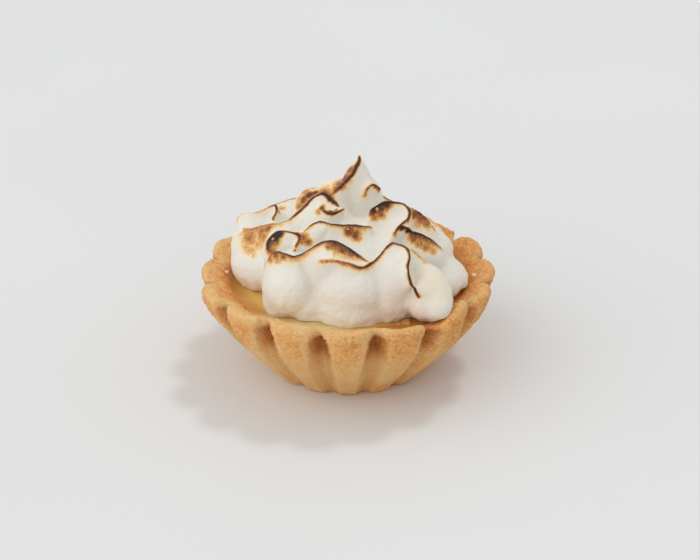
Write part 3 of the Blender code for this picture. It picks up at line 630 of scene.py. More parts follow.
def smooth_curve(points, count):
    """Points along a smooth curve through the given ones, evenly spaced."""
    points = np.array(points, float)
    padded = np.vstack([2 * points[0] - points[1], points, 2 * points[-1] - points[-2]])
    dense = []
    for a, b, c, d in zip(padded, padded[1:], padded[2:], padded[3:]):
        for t in np.linspace(0, 1, 24, endpoint=False):
            bend = (2 * a - 5 * b + 4 * c - d) * t**2 + (3 * b - a - 3 * c + d) * t**3
            dense.append(0.5 * (2 * b + (c - a) * t + bend))
    dense = np.array(dense + [points[-1]])
    along = np.concatenate([[0], np.cumsum(np.linalg.norm(np.diff(dense, axis=0), axis=1))])
    wanted = np.linspace(0, along[-1], count)
    return np.column_stack([np.interp(wanted, along, column) for column in dense.T])


def rim_height():
    return bpy.context.scene.tartlet_shell.height


def above_rim(point):
    """A point in mm with its height above the rim, in metres."""
    x, y, z = point
    return (x * MM, y * MM, z * MM + rim_height())


def wall_radius(wall, height):
    """Radius of one side of the wall at each height."""
    steps = np.array(sorted((rim_height() - depth * MM, radius * MM) for radius, depth in wall))
    return np.interp(height, steps[:, 0], steps[:, 1])


def share_between(values, low, high):
    """How far values lie from low to high, from 0 to 1."""
    return np.clip((values - low) / (high - low), 0, 1)


def fill_inputs(tree, node, inputs):
    """Set a node's inputs to numbers and colours, or link other nodes' outputs to them."""
    for key, value in dict(inputs).items():
        if isinstance(value, bpy.types.NodeSocket):
            tree.links.new(value, node.inputs[key])
        else:
            node.inputs[key].default_value = value


def add_node(tree, kind, inputs=(), **settings):
    """A new node. Its inputs are numbers, colours or other nodes' outputs."""
    node = tree.nodes.new(kind)
    for name, value in settings.items():
        setattr(node, name, value)
    fill_inputs(tree, node, inputs)
    return node


def maths(tree, operation, *values, clamp=False):
    """The result of a maths node."""
    node = add_node(tree, "ShaderNodeMath", enumerate(values), operation=operation, use_clamp=clamp)
    return node.outputs[0]


def stretched(tree, vector, scales):
    """A place scaled along each axis, which draws a pattern out where the scale is small."""
    node = add_node(tree, "ShaderNodeVectorMath", {0: vector, 1: scales}, operation="MULTIPLY")
    return node.outputs[0]


def mapped(tree, value, low, high, to_low=0.0, to_high=1.0, kind="SMOOTHSTEP"):
    """A value moved from one range to another, and kept inside it."""
    inputs = {"Value": value, "From Min": low, "From Max": high, "To Min": to_low, "To Max": to_high}
    return add_node(tree, "ShaderNodeMapRange", inputs, interpolation_type=kind).outputs["Result"]


def noise_field(tree, vector, scale, detail=2.0, rough=0.5):
    """A noise texture's value, from 0 to 1, for a scale given per metre."""
    inputs = {"Vector": vector, "Scale": scale, "Detail": detail, "Roughness": rough}
    return add_node(tree, "ShaderNodeTexNoise", inputs).outputs[0]


def grain_field(tree, vector, scale):
    """Rounded grains: how far each spot is from its grain's middle, and a tone that each grain has."""
    node = add_node(tree, "ShaderNodeTexVoronoi", {"Vector": vector, "Scale": scale, "Randomness": 1.0})
    tone = add_node(tree, "ShaderNodeSeparateColor", {0: node.outputs["Color"]}).outputs[0]
    return node.outputs["Distance"], tone


def curve_field(tree, value, points):
    """A number read from a curve through (place, value) points, all from 0 to 1."""
    node = add_node(tree, "ShaderNodeFloatCurve", {"Value": value})
    curve = node.mapping.curves[0]
    while len(curve.points) < len(points):
        curve.points.new(0.5, 0.5)
    for point, place in zip(curve.points, points):
        point.location = place
        point.handle_type = "VECTOR"
    node.mapping.update()
    return node.outputs[0]


def new_geometry_tree(name, inputs):
    """A geometry node tree with named inputs, and its input and output nodes."""
    tree = bpy.data.node_groups.new(name, "GeometryNodeTree")
    tree.interface.new_socket("Geometry", in_out="INPUT", socket_type="NodeSocketGeometry")
    tree.interface.new_socket("Geometry", in_out="OUTPUT", socket_type="NodeSocketGeometry")
    for label, kind in inputs:
        tree.interface.new_socket(label, in_out="INPUT", socket_type=kind)
    return tree, tree.nodes.new("NodeGroupInput"), tree.nodes.new("NodeGroupOutput")


def set_inputs(modifier, values):
    """Set a geometry nodes modifier's inputs by their labels."""
    for item in modifier.node_group.interface.items_tree:
        if item.in_out == "INPUT" and item.name in values:
            modifier[item.identifier] = values[item.name]


def applied(item, tree, values):
    """The plain mesh that a geometry node tree makes of an object."""
    modifier = item.modifiers.new(tree.name, "NODES")
    modifier.node_group = tree
    set_inputs(modifier, values)
    return baked(item)


def new_material(name):
    """A material with its Principled shader and its node tree."""
    material = bpy.data.materials.new(name)
    material.use_nodes = True
    tree = material.node_tree
    return material, tree, tree.nodes["Principled BSDF"]


def object_place(tree):
    return add_node(tree, "ShaderNodeTexCoord").outputs["Object"]


def vertex_value(tree, name):
    return add_node(tree, "ShaderNodeAttribute", attribute_name=name).outputs["Fac"]


def colour_input(value):
    """A colour as a socket takes it: another node's output, or four numbers."""
    return value if isinstance(value, bpy.types.NodeSocket) else (*value[:3], 1.0)


def mixed(tree, share, first, second):
    """A colour between two others."""
    inputs = {0: share, 6: colour_input(first), 7: colour_input(second)}
    return add_node(tree, "ShaderNodeMix", inputs, data_type="RGBA").outputs[2]


def tinted(colour, shares):
    """A colour with a share of each of its parts."""
    return tuple(part * share for part, share in zip(colour, shares))


def ramp(tree, value, stops):
    """A colour ramp through (place, colour) stops."""
    node = add_node(tree, "ShaderNodeValToRGB", {"Fac": value})
    elements = node.color_ramp.elements
    while len(elements) < len(stops):
        elements.new(0.5)
    for element, (place, colour) in zip(elements, stops):
        element.position = place
        element.color = colour_input(colour)
    return node.outputs["Color"]


def bumped(tree, shader, height, strength, distance):
    """Give a shader a bump from a height field."""
    node = add_node(tree, "ShaderNodeBump", {"Height": height, "Strength": strength, "Distance": distance})
    tree.links.new(node.outputs["Normal"], shader.inputs["Normal"])


def shortcrust_material():
    """Baked shortcrust: pale and smooth low down, golden and crumbly above. Painted shade darkens its flute
    pockets, its inside and its right side; its pale edges and crumbs carry painted highlights and glints.
    """
    settings = bpy.context.scene.tartlet_shell
    material, tree, shader = new_material("baked_shortcrust")
    place = object_place(tree)
    pocket_shade = vertex_value(tree, "pocket_shade")
    toast_and_shade = vertex_value(tree, "toast_and_shade")
    blotch = noise_field(tree, place, 260.0, 3.0, 0.6)
    grain = noise_field(tree, place, 1150.0, 4.0, 0.75)
    off_middle, tone = grain_field(tree, place, 2400.0)
    # toasting, with painted shade down the inside and on the right side, and blotches
    browned = maths(tree, "ADD", toast_and_shade, maths(tree, "MULTIPLY_ADD", blotch, 0.9, -0.45))
    speckled = maths(tree, "MULTIPLY_ADD", tone, 0.36, maths(tree, "MULTIPLY_ADD", grain, 2.0, -1.18))
    gritty = mapped(tree, vertex_value(tree, "share"), 0.3, 0.75, 0.45, 1.0)
    browned = maths(tree, "MULTIPLY_ADD", speckled, gritty, browned, clamp=True)
    stops = ((0.15, settings.pale), (0.5, settings.golden), (0.95, settings.toasted))
    colour = ramp(tree, browned, stops)
    # colour of the painted shade in the flute pockets
    deep = tinted(settings.toasted, (0.72, 0.55, 0.45))
    colour = mixed(tree, maths(tree, "MULTIPLY", pocket_shade, 0.8), colour, deep)
    outside = maths(tree, "MULTIPLY_ADD", vertex_value(tree, "outer"), 0.8, 0.2)
    outside = maths(tree, "MULTIPLY", outside, maths(tree, "MULTIPLY_ADD", pocket_shade, -0.9, 1.0))
    outside = maths(tree, "MULTIPLY", outside, gritty)
    # pale crumbs, partly painted glints, kept out of the painted pocket shade
    spark = maths(tree, "MULTIPLY", mapped(tree, tone, 0.72, 0.94, 0.0, 0.85), outside)
    spark = maths(tree, "MULTIPLY", spark, mapped(tree, off_middle, 0.65, 0.25))
    colour = mixed(tree, spark, colour, settings.spark)
    # pale rim and notch bridges, and painted highlights on the flutes' corners
    pale_edges_and_highlights = maths(tree, "MULTIPLY", vertex_value(tree, "pale_edges_and_highlights"), mapped(tree, grain, 0.3, 0.7))
    colour = mixed(tree, maths(tree, "MULTIPLY", pale_edges_and_highlights, 0.9), colour, settings.pale_edges_and_highlights)
    speck = maths(tree, "MULTIPLY", mapped(tree, grain, 0.38, 0.24, 0.0, 0.4), outside)
    finish = {
        "Base Color": mixed(tree, speck, colour, settings.speck),
        "Roughness": 0.62,
        "Specular IOR Level": 0.35,
        "Subsurface Weight": 0.08,
        "Subsurface Scale": 0.6 * MM,
        "Subsurface Radius": (1.0, 0.5, 0.25),
    }
    fill_inputs(tree, shader, finish)
    bumped(tree, shader, maths(tree, "MULTIPLY_ADD", off_middle, -0.45, grain), 1.0, 0.6 * MM)
    return material


def section(points, top):
    """(radius, depth in mm) points as (radius, height) points in metres."""
    return [(radius * MM, top - depth * MM) for radius, depth in points]


def shell_profile():
    """The shell's half section as (radius, height) points, close together where it shows."""
    stretches = {
        "inside": INNER_WALL[:3],
        "bowl": INNER_WALL[2:] + RIM_LINE[:1],
        "rim": RIM_LINE,
        "outside": RIM_LINE[-1:] + OUTER_WALL + BASE_LINE[:1],
    }
    profile = section(FLOOR_LINE, rim_height())
    for name, points in stretches.items():
        line = section(smooth_curve(points, SECTION_POINTS[name]), rim_height())
        profile += line if name == "inside" else line[1:]
    return profile + section(BASE_LINE[1:], rim_height())


def outer_share(profile):
    """For each profile point: 1 on the outer side, 0 on the inner side, between them on the rim."""
    radii = np.array([radius for radius, _ in profile]) / MM
    crown = max(range(len(profile)), key=lambda index: profile[index][1])
    share = share_between(radii, RIM_MIDDLE, RIM_MIDDLE + TURN_WIDTH)
    share[crown + 1 :] = np.maximum(share[crown + 1 :], share[crown])
    share[int(np.argmax(radii)) :] = 1.0
    return share


def turned(name, profile, steps, values):
    """Turn a profile round Z with a Screw modifier. values maps attribute names to one number a point."""
    mesh = bpy.data.meshes.new(name)
    points = [(radius, 0.0, height) for radius, height in profile]
    mesh.from_pydata(points, [(i, i + 1) for i in range(len(points) - 1)], [])
    for label, numbers in values.items():
        write_attribute(mesh, label, numbers)
    item = add_object(name, mesh)
    screw = item.modifiers.new("Turn", "SCREW")
    screw.steps = steps
    screw.render_steps = steps
    screw.use_merge_vertices = True
    screw.merge_threshold = 0.00001
    screw.use_normal_calculate = True
    return baked(item)


def round_noise(tree, angle, seed, waves):
    """Noise round the axis, from -1 to 1."""
    around = {0: maths(tree, "COSINE", angle), 1: maths(tree, "SINE", angle), 2: seed}
    spot = add_node(tree, "ShaderNodeCombineXYZ", around).outputs[0]
    return maths(tree, "MULTIPLY_ADD", noise_field(tree, spot, waves, 1.0), 4.0, -2.0)


def named_value(tree, name):
    """A number that a geometry node tree reads from each vertex."""
    node = add_node(tree, "GeometryNodeInputNamedAttribute", {"Name": name}, data_type="FLOAT")
    return node.outputs["Attribute"]


def coated(tree, result, geometry, material):
    """End a geometry node tree: realize its instances and give them their material."""
    real = add_node(tree, "GeometryNodeRealizeInstances", {"Geometry": geometry})
    painted = add_node(tree, "GeometryNodeSetMaterial", {"Geometry": real.outputs[0], "Material": material})
    tree.links.new(painted.outputs[0], result.inputs[0])


def roughened(tree, given, geometry, share, outer, z):
    """The shell with its slow bumps and its crumb relief."""
    def m(operation, *values):
        return maths(tree, operation, *values)

    normal = tree.nodes.new("GeometryNodeInputNormal").outputs[0]
    here = tree.nodes.new("GeometryNodeInputPosition").outputs[0]
    rough = mapped(tree, share, 0.35, 0.8, 0.35, 1.0)
    rough = m("ADD", rough, mapped(tree, share, 0.93, 1.0, 0.0, 0.3))
    rough = m("MULTIPLY", rough, m("MULTIPLY_ADD", outer, 0.6, 0.4))
    slow = m("MULTIPLY_ADD", noise_field(tree, here, 160.0, 2.0), 2.0, -1.0)
    crumb = m("MULTIPLY_ADD", noise_field(tree, here, 1000.0, 4.0, 0.75), 2.0, -1.0)
    height = m("MULTIPLY", slow, given.outputs["Waviness"])
    height = m("MULTIPLY_ADD", m("MULTIPLY", crumb, rough), given.outputs["Crumb relief"], height)
    height = m("MULTIPLY", height, mapped(tree, z, *RELIEF_START))
    push = add_node(tree, "ShaderNodeVectorMath", {0: normal, "Scale": height}, operation="SCALE")
    moved = add_node(tree, "GeometryNodeSetPosition", {"Geometry": geometry, "Offset": push.outputs[0]})
    return moved.outputs[0]


def flute_tree(material):
    """Geometry nodes that flute a turned shell, scallop its rim and roughen its surface."""
    tree, given, result = new_geometry_tree(
        "Fluted shell",
        (
            ("Flutes", "NodeSocketInt"),
            ("Height", "NodeSocketFloat"),
            ("Notch drop", "NodeSocketFloat"),
            ("Rim unevenness", "NodeSocketFloat"),
            ("Crumb relief", "NodeSocketFloat"),
            ("Waviness", "NodeSocketFloat"),
        ),
    )

    def m(operation, *values, clamp=False):
        return maths(tree, operation, *values, clamp=clamp)

    where = tree.nodes.new("GeometryNodeInputPosition").outputs[0]
    x, y, z = add_node(tree, "ShaderNodeSeparateXYZ", {0: where}).outputs
    radius = m("SQRT", m("ADD", m("MULTIPLY", x, x), m("MULTIPLY", y, y)))
    angle = m("ARCTAN2", y, x)
    share = m("DIVIDE", z, given.outputs["Height"], clamp=True)
    outer = named_value(tree, "outer")

    pitch = m("DIVIDE", 2 * math.pi, given.outputs["Flutes"])
    turn = m("DIVIDE", m("SUBTRACT", angle, FIRST_FLUTE), pitch)
    near = m("ROUND", turn)
    off = m("SUBTRACT", turn, near)
    column = m("MULTIPLY", m("ABSOLUTE", off), 2.0)
    flat = curve_field(tree, share, [(place, part) for place, _, part in FLUTE_STEPS])
    depth = curve_field(tree, share, [(place, deep / DEEPEST_FLUTE) for place, deep, _ in FLUTE_STEPS])
    depth = m("MULTIPLY", depth, DEEPEST_FLUTE * MM)
    rest = m("SUBTRACT", 1.0, flat)
    on_face = m("LESS_THAN", column, CORNER_COLUMN)
    face_place = m("MULTIPLY", m("DIVIDE", column, CORNER_COLUMN), flat)
    side_place = m("DIVIDE", m("SUBTRACT", column, CORNER_COLUMN), 1 - CORNER_COLUMN)
    side_place = m("MULTIPLY_ADD", side_place, rest, flat)
    face_place = m("MULTIPLY", face_place, on_face)
    spot = m("MULTIPLY_ADD", side_place, m("SUBTRACT", 1.0, on_face), face_place)
    half = m("DIVIDE", pitch, 2.0)
    middle = m("MULTIPLY_ADD", near, pitch, FIRST_FLUTE)
    angle = m("MULTIPLY_ADD", m("MULTIPLY", m("SIGN", off), spot), half, middle)
    into = m("DIVIDE", m("SUBTRACT", spot, flat), rest, clamp=True)
    valley = m("SINE", m("MULTIPLY", into, math.pi / 2))

    at_corner = m("COSINE", m("MULTIPLY", flat, half))
    swell = m("DIVIDE", at_corner, m("COSINE", m("MULTIPLY", m("MINIMUM", spot, flat), half)))
    swell = m("MULTIPLY_ADD", m("MULTIPLY", m("SUBTRACT", swell, 1.0), outer), FACE_FLATNESS, 1.0)
    upper = mapped(tree, share, *REACH_ZONE, kind="LINEAR")
    lip = m("MULTIPLY", m("SUBTRACT", 1.0, outer), mapped(tree, share, *LIP_ZONE))
    sunk = m("MULTIPLY", m("MULTIPLY_ADD", lip, INNER_FLUTE * MM, m("MULTIPLY", depth, outer)), valley)
    fall = m("MULTIPLY", m("MULTIPLY", outer, PETAL_ROUND[0] * MM), mapped(tree, share, *ROUND_ZONE))
    fall = m("MULTIPLY_ADD", lip, PETAL_ROUND[1] * MM, fall)
    sunk = m("MULTIPLY_ADD", m("MULTIPLY", spot, spot), fall, sunk)
    lap = m("FRACT", m("DIVIDE", near, given.outputs["Flutes"]))
    count = len(FLUTE_REACH)
    stations = [(i / count, 0.5 + 0.5 * reach / MOST_REACH) for i, reach in enumerate(FLUTE_REACH)]
    reach = curve_field(tree, lap, stations + [(1.0, stations[0][1])])
    reach = m("MULTIPLY", m("MULTIPLY_ADD", reach, 2.0, -1.0), MOST_REACH * MM)
    reach = m("MULTIPLY", reach, m("COSINE", m("MULTIPLY", off, math.pi)))
    reach = m("MULTIPLY", reach, m("MULTIPLY", outer, upper))
    radius = m("ADD", m("SUBTRACT", m("MULTIPLY", radius, swell), sunk), reach)
    out_of_round = m("MULTIPLY", round_noise(tree, angle, *WALL_NOISE), m("MULTIPLY", share, WALL_UNEVEN))
    radius = m("MULTIPLY", radius, m("ADD", out_of_round, 1.0))

    lift = m("MULTIPLY", round_noise(tree, angle, *RIM_NOISE), given.outputs["Rim unevenness"])
    lift = m("SUBTRACT", lift, m("MULTIPLY", valley, given.outputs["Notch drop"]))
    round_share = m("FRACT", m("DIVIDE", angle, 2 * math.pi))
    uneven = [(turned_by / 360, 0.5 + 0.5 * rise / MOST_LIFT) for turned_by, rise in RIM_LIFTS]
    uneven = m("MULTIPLY_ADD", curve_field(tree, round_share, uneven), 2.0, -1.0)
    lift = m("MULTIPLY_ADD", uneven, MOST_LIFT * MM, lift)
    z = m("MULTIPLY_ADD", lift, mapped(tree, share, *TOP_ZONE, kind="LINEAR"), z)
    around = {0: m("MULTIPLY", radius, m("COSINE", angle)), 1: m("MULTIPLY", radius, m("SINE", angle)), 2: z}
    moved = {"Geometry": given.outputs["Geometry"]}
    moved["Position"] = add_node(tree, "ShaderNodeCombineXYZ", around).outputs[0]
    kept = add_node(tree, "GeometryNodeSetPosition", moved)
    stored = (("valley", m("MULTIPLY", valley, outer)), ("across", m("DIVIDE", spot, flat)), ("share", share))
    for name, value in stored:
        kept = add_node(
            tree,
            "GeometryNodeStoreNamedAttribute",
            {"Geometry": kept.outputs[0], "Name": name, "Value": value},
            data_type="FLOAT",
            domain="POINT",
        )

    coated(tree, result, roughened(tree, given, kept.outputs[0], share, outer, z), material)
    return tree


class TARTLET_OT_shell(bpy.types.Operator):
    """Add the fluted pastry shell"""

    bl_idname = "tartlet.shell"
    bl_label = "Add Pastry Shell"

    def execute(self, context):
        settings = context.scene.tartlet_shell
        profile = shell_profile()
        values = {"outer": outer_share(profile)}
        mesh = turned("turned shell", profile, settings.flutes * settings.columns, values)
        material = shortcrust_material()
        sizes = {
            "Flutes": settings.flutes,
            "Height": settings.height,
            "Notch drop": settings.notch_drop,
            "Rim unevenness": settings.rim_uneven,
            "Crumb relief": settings.relief,
            "Waviness": settings.waviness,
        }
        mesh = applied(add_object("fluted shell", mesh), flute_tree(material), sizes)
        colour_shell(mesh)
        finished("pastry_shell", mesh, material, "crust")
        return {"FINISHED"}


def read_attribute(mesh, name):
    values = np.empty(len(mesh.vertices), np.float32)
    mesh.attributes[name].data.foreach_get("value", values)
    return values.astype(np.float64)


def colour_shell(mesh):
    """Store how toasted each vertex of the shell is, with painted shade down the inside and on the right
    side, how much painted shade lies in its flute pocket, and how pale its rim and notch bridges are, with
    painted highlights on the flutes' corners.

    share goes from 0 at the base to 1 at the rim, and across is 1 at a flute's corners.
    """
    names = ("outer", "valley", "across", "share")
    outer, valley, across, share = (read_attribute(mesh, name) for name in names)
    heights = (0.0, 0.1, 0.4, 0.6, 0.72, 0.92, 1.0)
    face = np.interp(share, heights, (0.55, 0.33, 0.25, 0.32, 0.52, 0.58, 0.42))
    face *= np.interp(across, (0.5, 0.85, 1.0, 1.4), (1.0, 0.9, 0.75, 0.9))
    # painted shade, deepening down the inside of the shell
    inside = np.interp(share, (0.7, 0.88, 0.95, 1.0), (1.1, 0.85, 0.42, 0.3))
    # painted shade in the flute pockets below the rim
    pocket_shade_share = share_between(valley, 0.3, 0.85) * np.interp(share, (0.6, 0.74, 0.9, 0.95), (0.15, 1, 1, 0))
    # painted highlight along the flutes' corners
    corner = np.exp(-(((across - 1.0) / 0.1) ** 2))
    corner *= np.interp(share, (0.15, 0.4, 0.9, 0.95), (0.0, 0.45, 0.6, 0.0))
    # pale crumbly rim edge and notch bridges
    edge = share_between(share, 0.975, 0.995) * np.interp(outer, (0.1, 0.9), (0.1, 1.0))
    ledge = valley * share_between(share, 0.92, 0.96)
    # painted shade on the right side, away from the light
    right = np.clip(read_points(mesh)[:, 0] / (RIM_LINE[-2][0] * MM), 0, 1)
    write_attribute(mesh, "toast_and_shade", face * outer + inside * (1 - outer) + RIGHT_SIDE_SHADE * right)
    write_attribute(mesh, "pocket_shade", pocket_shade_share)
    write_attribute(mesh, "pale_edges_and_highlights", np.clip(edge * 0.5 + ledge + corner * outer, 0, 1))


def build_body(name):
    """Fuse the lobes into one rounded body."""
    lobes = bmesh.new()
    for centre, radii, *turns in LOBES:
        made = bmesh.ops.create_uvsphere(lobes, u_segments=32, v_segments=20, radius=1.0)
        turn = Euler([math.radians(part) for part in (turns[0] if turns else (0, 0, 0))]).to_matrix()
        for vertex in made["verts"]:
            scaled = Vector([part * size * MM for part, size in zip(vertex.co, radii)])
            vertex.co = turn @ scaled + Vector(above_rim(centre))
    mesh = bpy.data.meshes.new(name)
    lobes.to_mesh(mesh)
    lobes.free()
    return mesh


def fused(mesh, voxel, smoothing):
    """Fuse a mesh's parts into one skin and round what lies between them."""
    item = add_object("to fuse", mesh)
    remesh = item.modifiers.new("Fuse", "REMESH")
    remesh.mode = "VOXEL"
    remesh.voxel_size = voxel
    smooth = item.modifiers.new("Round", "SMOOTH")
    smooth.factor = 0.5
    smooth.iterations = smoothing
    return baked(item)


def nearest_on_curve(points, curve, margin):
    """For each point within a margin of a curve, the index of its nearest point and the distance."""
    low, high = curve.min(axis=0) - margin, curve.max(axis=0) + margin
    inside = np.flatnonzero(((points > low) & (points < high)).all(axis=1))
    close = points[inside]
    found = np.zeros(len(close), int)
    least = np.full(len(close), np.inf)
    for index, spot in enumerate(curve):
        away = ((close - spot) ** 2).sum(axis=1)
        closer = away < least
        found[closer] = index
        least[closer] = away[closer]
    nearest = np.zeros(len(points), int)
    distance = np.full(len(points), np.inf)
    nearest[inside] = found
    distance[inside] = np.sqrt(least)
    return nearest, distance


def surface_tree(mesh):
    """A search tree that finds the spot of a mesh's surface nearest to a point."""
    corners = [tuple(point) for point in read_points(mesh)]
    return BVHTree.FromPolygons(corners, [tuple(face.vertices) for face in mesh.polygons])


def surface_feet(mesh, curve, smoothing=0):
    """The points of a mesh's surface that lie nearest to a curve's points."""
    tree = surface_tree(mesh)
    feet = np.array([tree.find_nearest(Vector(point))[0] for point in curve])
    if not smoothing:
        return feet
    for _ in range(smoothing):
        feet[1:-1] = (feet[:-2] + feet[1:-1] + feet[2:]) / 3
    return np.array([tree.find_nearest(Vector(point))[0] for point in feet])


def side_of(points, curve, nearest):
    """How far in front of a curve each point lies: positive in front, negative behind."""
    tangent = np.gradient(curve, axis=0)
    ahead = np.column_stack([tangent[:, 1], -tangent[:, 0], np.zeros(len(curve))])
    ahead /= np.maximum(np.linalg.norm(ahead, axis=1, keepdims=True), 1e-9)
    return ((points - curve[nearest]) * ahead[nearest]).sum(axis=1)


def crest_curve(ridge):
    points = [above_rim(point) for point in ridge["crest"]]
    length = sum(math.dist(a, b) for a, b in zip(points, points[1:]))
    return smooth_curve(points, int(length / MM * CREST_SAMPLES_PER_MM))


def tapered(curve):
    """1 along a curve, falling to almost nothing at its two ends, as a column."""
    along = np.arange(1, len(curve) + 1) / CREST_SAMPLES_PER_MM * MM
    return np.clip(np.minimum(along, along[::-1]) / CREST_TAPER, 0, 1)[:, None]


def pull_ridge(mesh, crest, front, behind, share):
    """Pull the surface towards a crest, so that it meets in an edge and dies away from it."""
    feet = surface_feet(mesh, crest, FOOT_SMOOTHING)
    points = read_points(mesh)
    pull = (crest - feet) * share * tapered(crest)
    nearest, distance = nearest_on_curve(points, feet, PULL_MARGIN * max(front, behind) * MM)
    reach = np.where(side_of(points, feet, nearest) > 0, front, behind) * MM
    rounded = np.hypot(distance, CREST_ROUNDING) - CREST_ROUNDING
    points += pull[nearest] * np.exp(-rounded / reach)[:, None]
    write_points(mesh, points)


def rim_lift(points):
    """How much higher than the rest the rim is beside each point."""
    around = np.degrees(np.arctan2(points[:, 1], points[:, 0])) % 360
    return np.interp(around, *np.array(RIM_LIFTS).T) * MM


def inner_radius(points, height):
    """Radius of the shell's inner side beside each point, at the given heights."""
    flutes = bpy.context.scene.tartlet_shell.flutes
    turn = (np.arctan2(points[:, 1], points[:, 0]) - FIRST_FLUTE) * flutes / (2 * math.pi)
    spot = np.abs(turn - np.round(turn)) * 2
    valley = np.clip((spot - FLUTE_STEPS[-1][2]) / (1 - FLUTE_STEPS[-1][2]), 0, 1)
    lip = share_between(height / rim_height(), *LIP_ZONE)
    lip = lip * lip * (3 - 2 * lip)
    fall = PETAL_ROUND[1] * spot**2 + INNER_FLUTE * np.sin(valley * math.pi / 2)
    return wall_radius(INNER_WALL + RIM_LINE[:3], height) - lip * fall * MM


def keep_off_shell(mesh):
    """Press the meringue in where it would touch the inside of the shell."""
    points = read_points(mesh)
    radius = np.hypot(points[:, 0], points[:, 1])
    height = points[:, 2] - rim_lift(points)
    limit = inner_radius(points, height - SHELL_LEAN) - SHELL_GAP
    limit = np.where(height > rim_height() + ABOVE_SHELL, radius, limit)
    scale = np.minimum(1, limit / np.maximum(radius, MM))
    write_points(mesh, points * np.column_stack([scale, scale, np.ones(len(scale))]))


def noise_values(points, scale, seed):
    """Smooth noise at each point, about -1 to 1, for a scale given per metre."""
    return np.array([noise.noise(Vector(point) * scale + Vector((seed, seed, seed))) for point in points])


def scorch_values(mesh):
    """How torched each vertex is: a burnt line on each crest, browning on either side of it and torched
    patches, one of them a faint painted shade on the tongue's face.
    """
    points = read_points(mesh)
    scorch = np.zeros(len(points))
    line_width = CREST_LINE * (1 + LINE_UNEVEN[1] * noise_values(points, LINE_UNEVEN[0], 12.0))
    for ridge in RIDGES:
        curve = surface_feet(mesh, crest_curve(ridge))
        nearest, distance = nearest_on_curve(points, curve, SCORCH_MARGIN)
        front = side_of(points, curve, nearest) > 0
        along = nearest / (len(curve) - 1)
        stations = np.array(ridge["scorch"]).T
        line, wide_f, deep_f, wide_b, deep_b = (np.interp(along, stations[0], row) for row in stations[1:])
        width = np.where(front, wide_f, wide_b) * MM
        depth = np.where(front, deep_f, deep_b)
        burnt = line * np.exp(-((distance / line_width) ** 2))
        browned = depth * np.exp(-((distance / width) ** BROWNING_EDGE))
        both = np.maximum(burnt, browned) + SHARED_SCORCH * np.minimum(burnt, browned)
        scorch = np.maximum(scorch, both)
    # Torched patches; the broad faint one on the tongue's face is painted shade
    for centre, radius, strength in PATCHES:
        away = np.linalg.norm(points - above_rim(centre), axis=1)
        scorch = np.maximum(scorch, strength * np.exp(-((away / (radius * MM)) ** PATCH_EDGE)))
    return np.clip(scorch, 0, 1)


def cut_flat(mesh, height):
    """Cut a mesh off below a height and close it with a flat face."""
    work = bmesh.new()
    work.from_mesh(mesh)
    everything = work.verts[:] + work.edges[:] + work.faces[:]
    cut = bmesh.ops.bisect_plane(
        work, geom=everything, plane_co=(0, 0, height), plane_no=(0, 0, 1), clear_inner=True
    )
    edges = [part for part in cut["geom_cut"] if isinstance(part, bmesh.types.BMEdge)]
    bmesh.ops.holes_fill(work, edges=edges)
    bmesh.ops.triangulate(work, faces=work.faces[:])
    bmesh.ops.recalc_face_normals(work, faces=work.faces[:])
    work.to_mesh(mesh)
    work.free()


def foam_relief(mesh, settings):
    """How far each vertex stands out: soft dents of the spoon, small bumps, and a ragged foot."""
    points = read_points(mesh)
    dents = noise_values(points * (1.0, 1.0, DENTS_UPWARDS), DENTS, 3.0)
    bumps = noise_values(points, BUMPS, 2.0)
    ragged = noise_values(points, RAGGED, 6.0)
    height = (points[:, 2] - rim_height()) / MM
    foot = np.interp(height, FOOT_ZONE, (1.0, 0.0))
    return settings.relief * (dents + BUMPS_SHARE * bumps + RAGGED_SHARE * ragged * foot)


def push_pinholes(mesh):
    """Sink a pinhole wherever a bubble burst."""
    points = read_points(mesh)
    normals = read_normals(mesh)
    for centre, radius in PINHOLES:
        away = np.linalg.norm(points - above_rim(centre), axis=1)
        nearest = points[np.argmin(away)]
        away = np.linalg.norm(points - nearest, axis=1) / (radius * MM)
        points -= normals * (PINHOLE_DEPTH * radius * MM * np.exp(-(away**2)))[:, None]
    write_points(mesh, points)


def meringue_material():
    """Foam that goes from white through gold to black with the torch, speckled where it browns; a faint cream
    tint on the tongue's face is painted shade.
    """
    settings = bpy.context.scene.tartlet_meringue
    material, tree, shader = new_material("torched_meringue")
    place = object_place(tree)
    scorch = vertex_value(tree, "scorch")
    blotch = noise_field(tree, stretched(tree, place, (1.0, 1.0, 0.45)), 800.0, 3.0, 0.6)
    speckle = noise_field(tree, place, 2400.0, 3.0, 0.7)
    gate = mapped(tree, scorch, 0.04, 0.3)
    uneven = maths(tree, "MULTIPLY_ADD", blotch, 0.45, -0.225)
    uneven = maths(tree, "ADD", uneven, maths(tree, "MULTIPLY_ADD", speckle, 0.6, -0.3))
    torched = maths(tree, "MULTIPLY_ADD", uneven, gate, scorch, clamp=True)
    stops = (
        (0.03, settings.white),
        (0.16, settings.cream),
        (0.36, settings.gold),
        (0.62, settings.brown),
        (0.9, settings.burnt),
    )
    finish = {
        "Base Color": ramp(tree, torched, stops),
        "Roughness": mapped(tree, torched, 0.2, 0.8, 0.55, 0.34),
        "Specular IOR Level": 0.4,
        "Subsurface Weight": 0.25,
        "Subsurface Scale": 1.2 * MM,
        "Subsurface Radius": (1.0, 0.8, 0.6),
    }
    fill_inputs(tree, shader, finish)
    bumped(tree, shader, noise_field(tree, place, 1000.0, 5.0, 0.7), 0.7, 0.3 * MM)
    return material


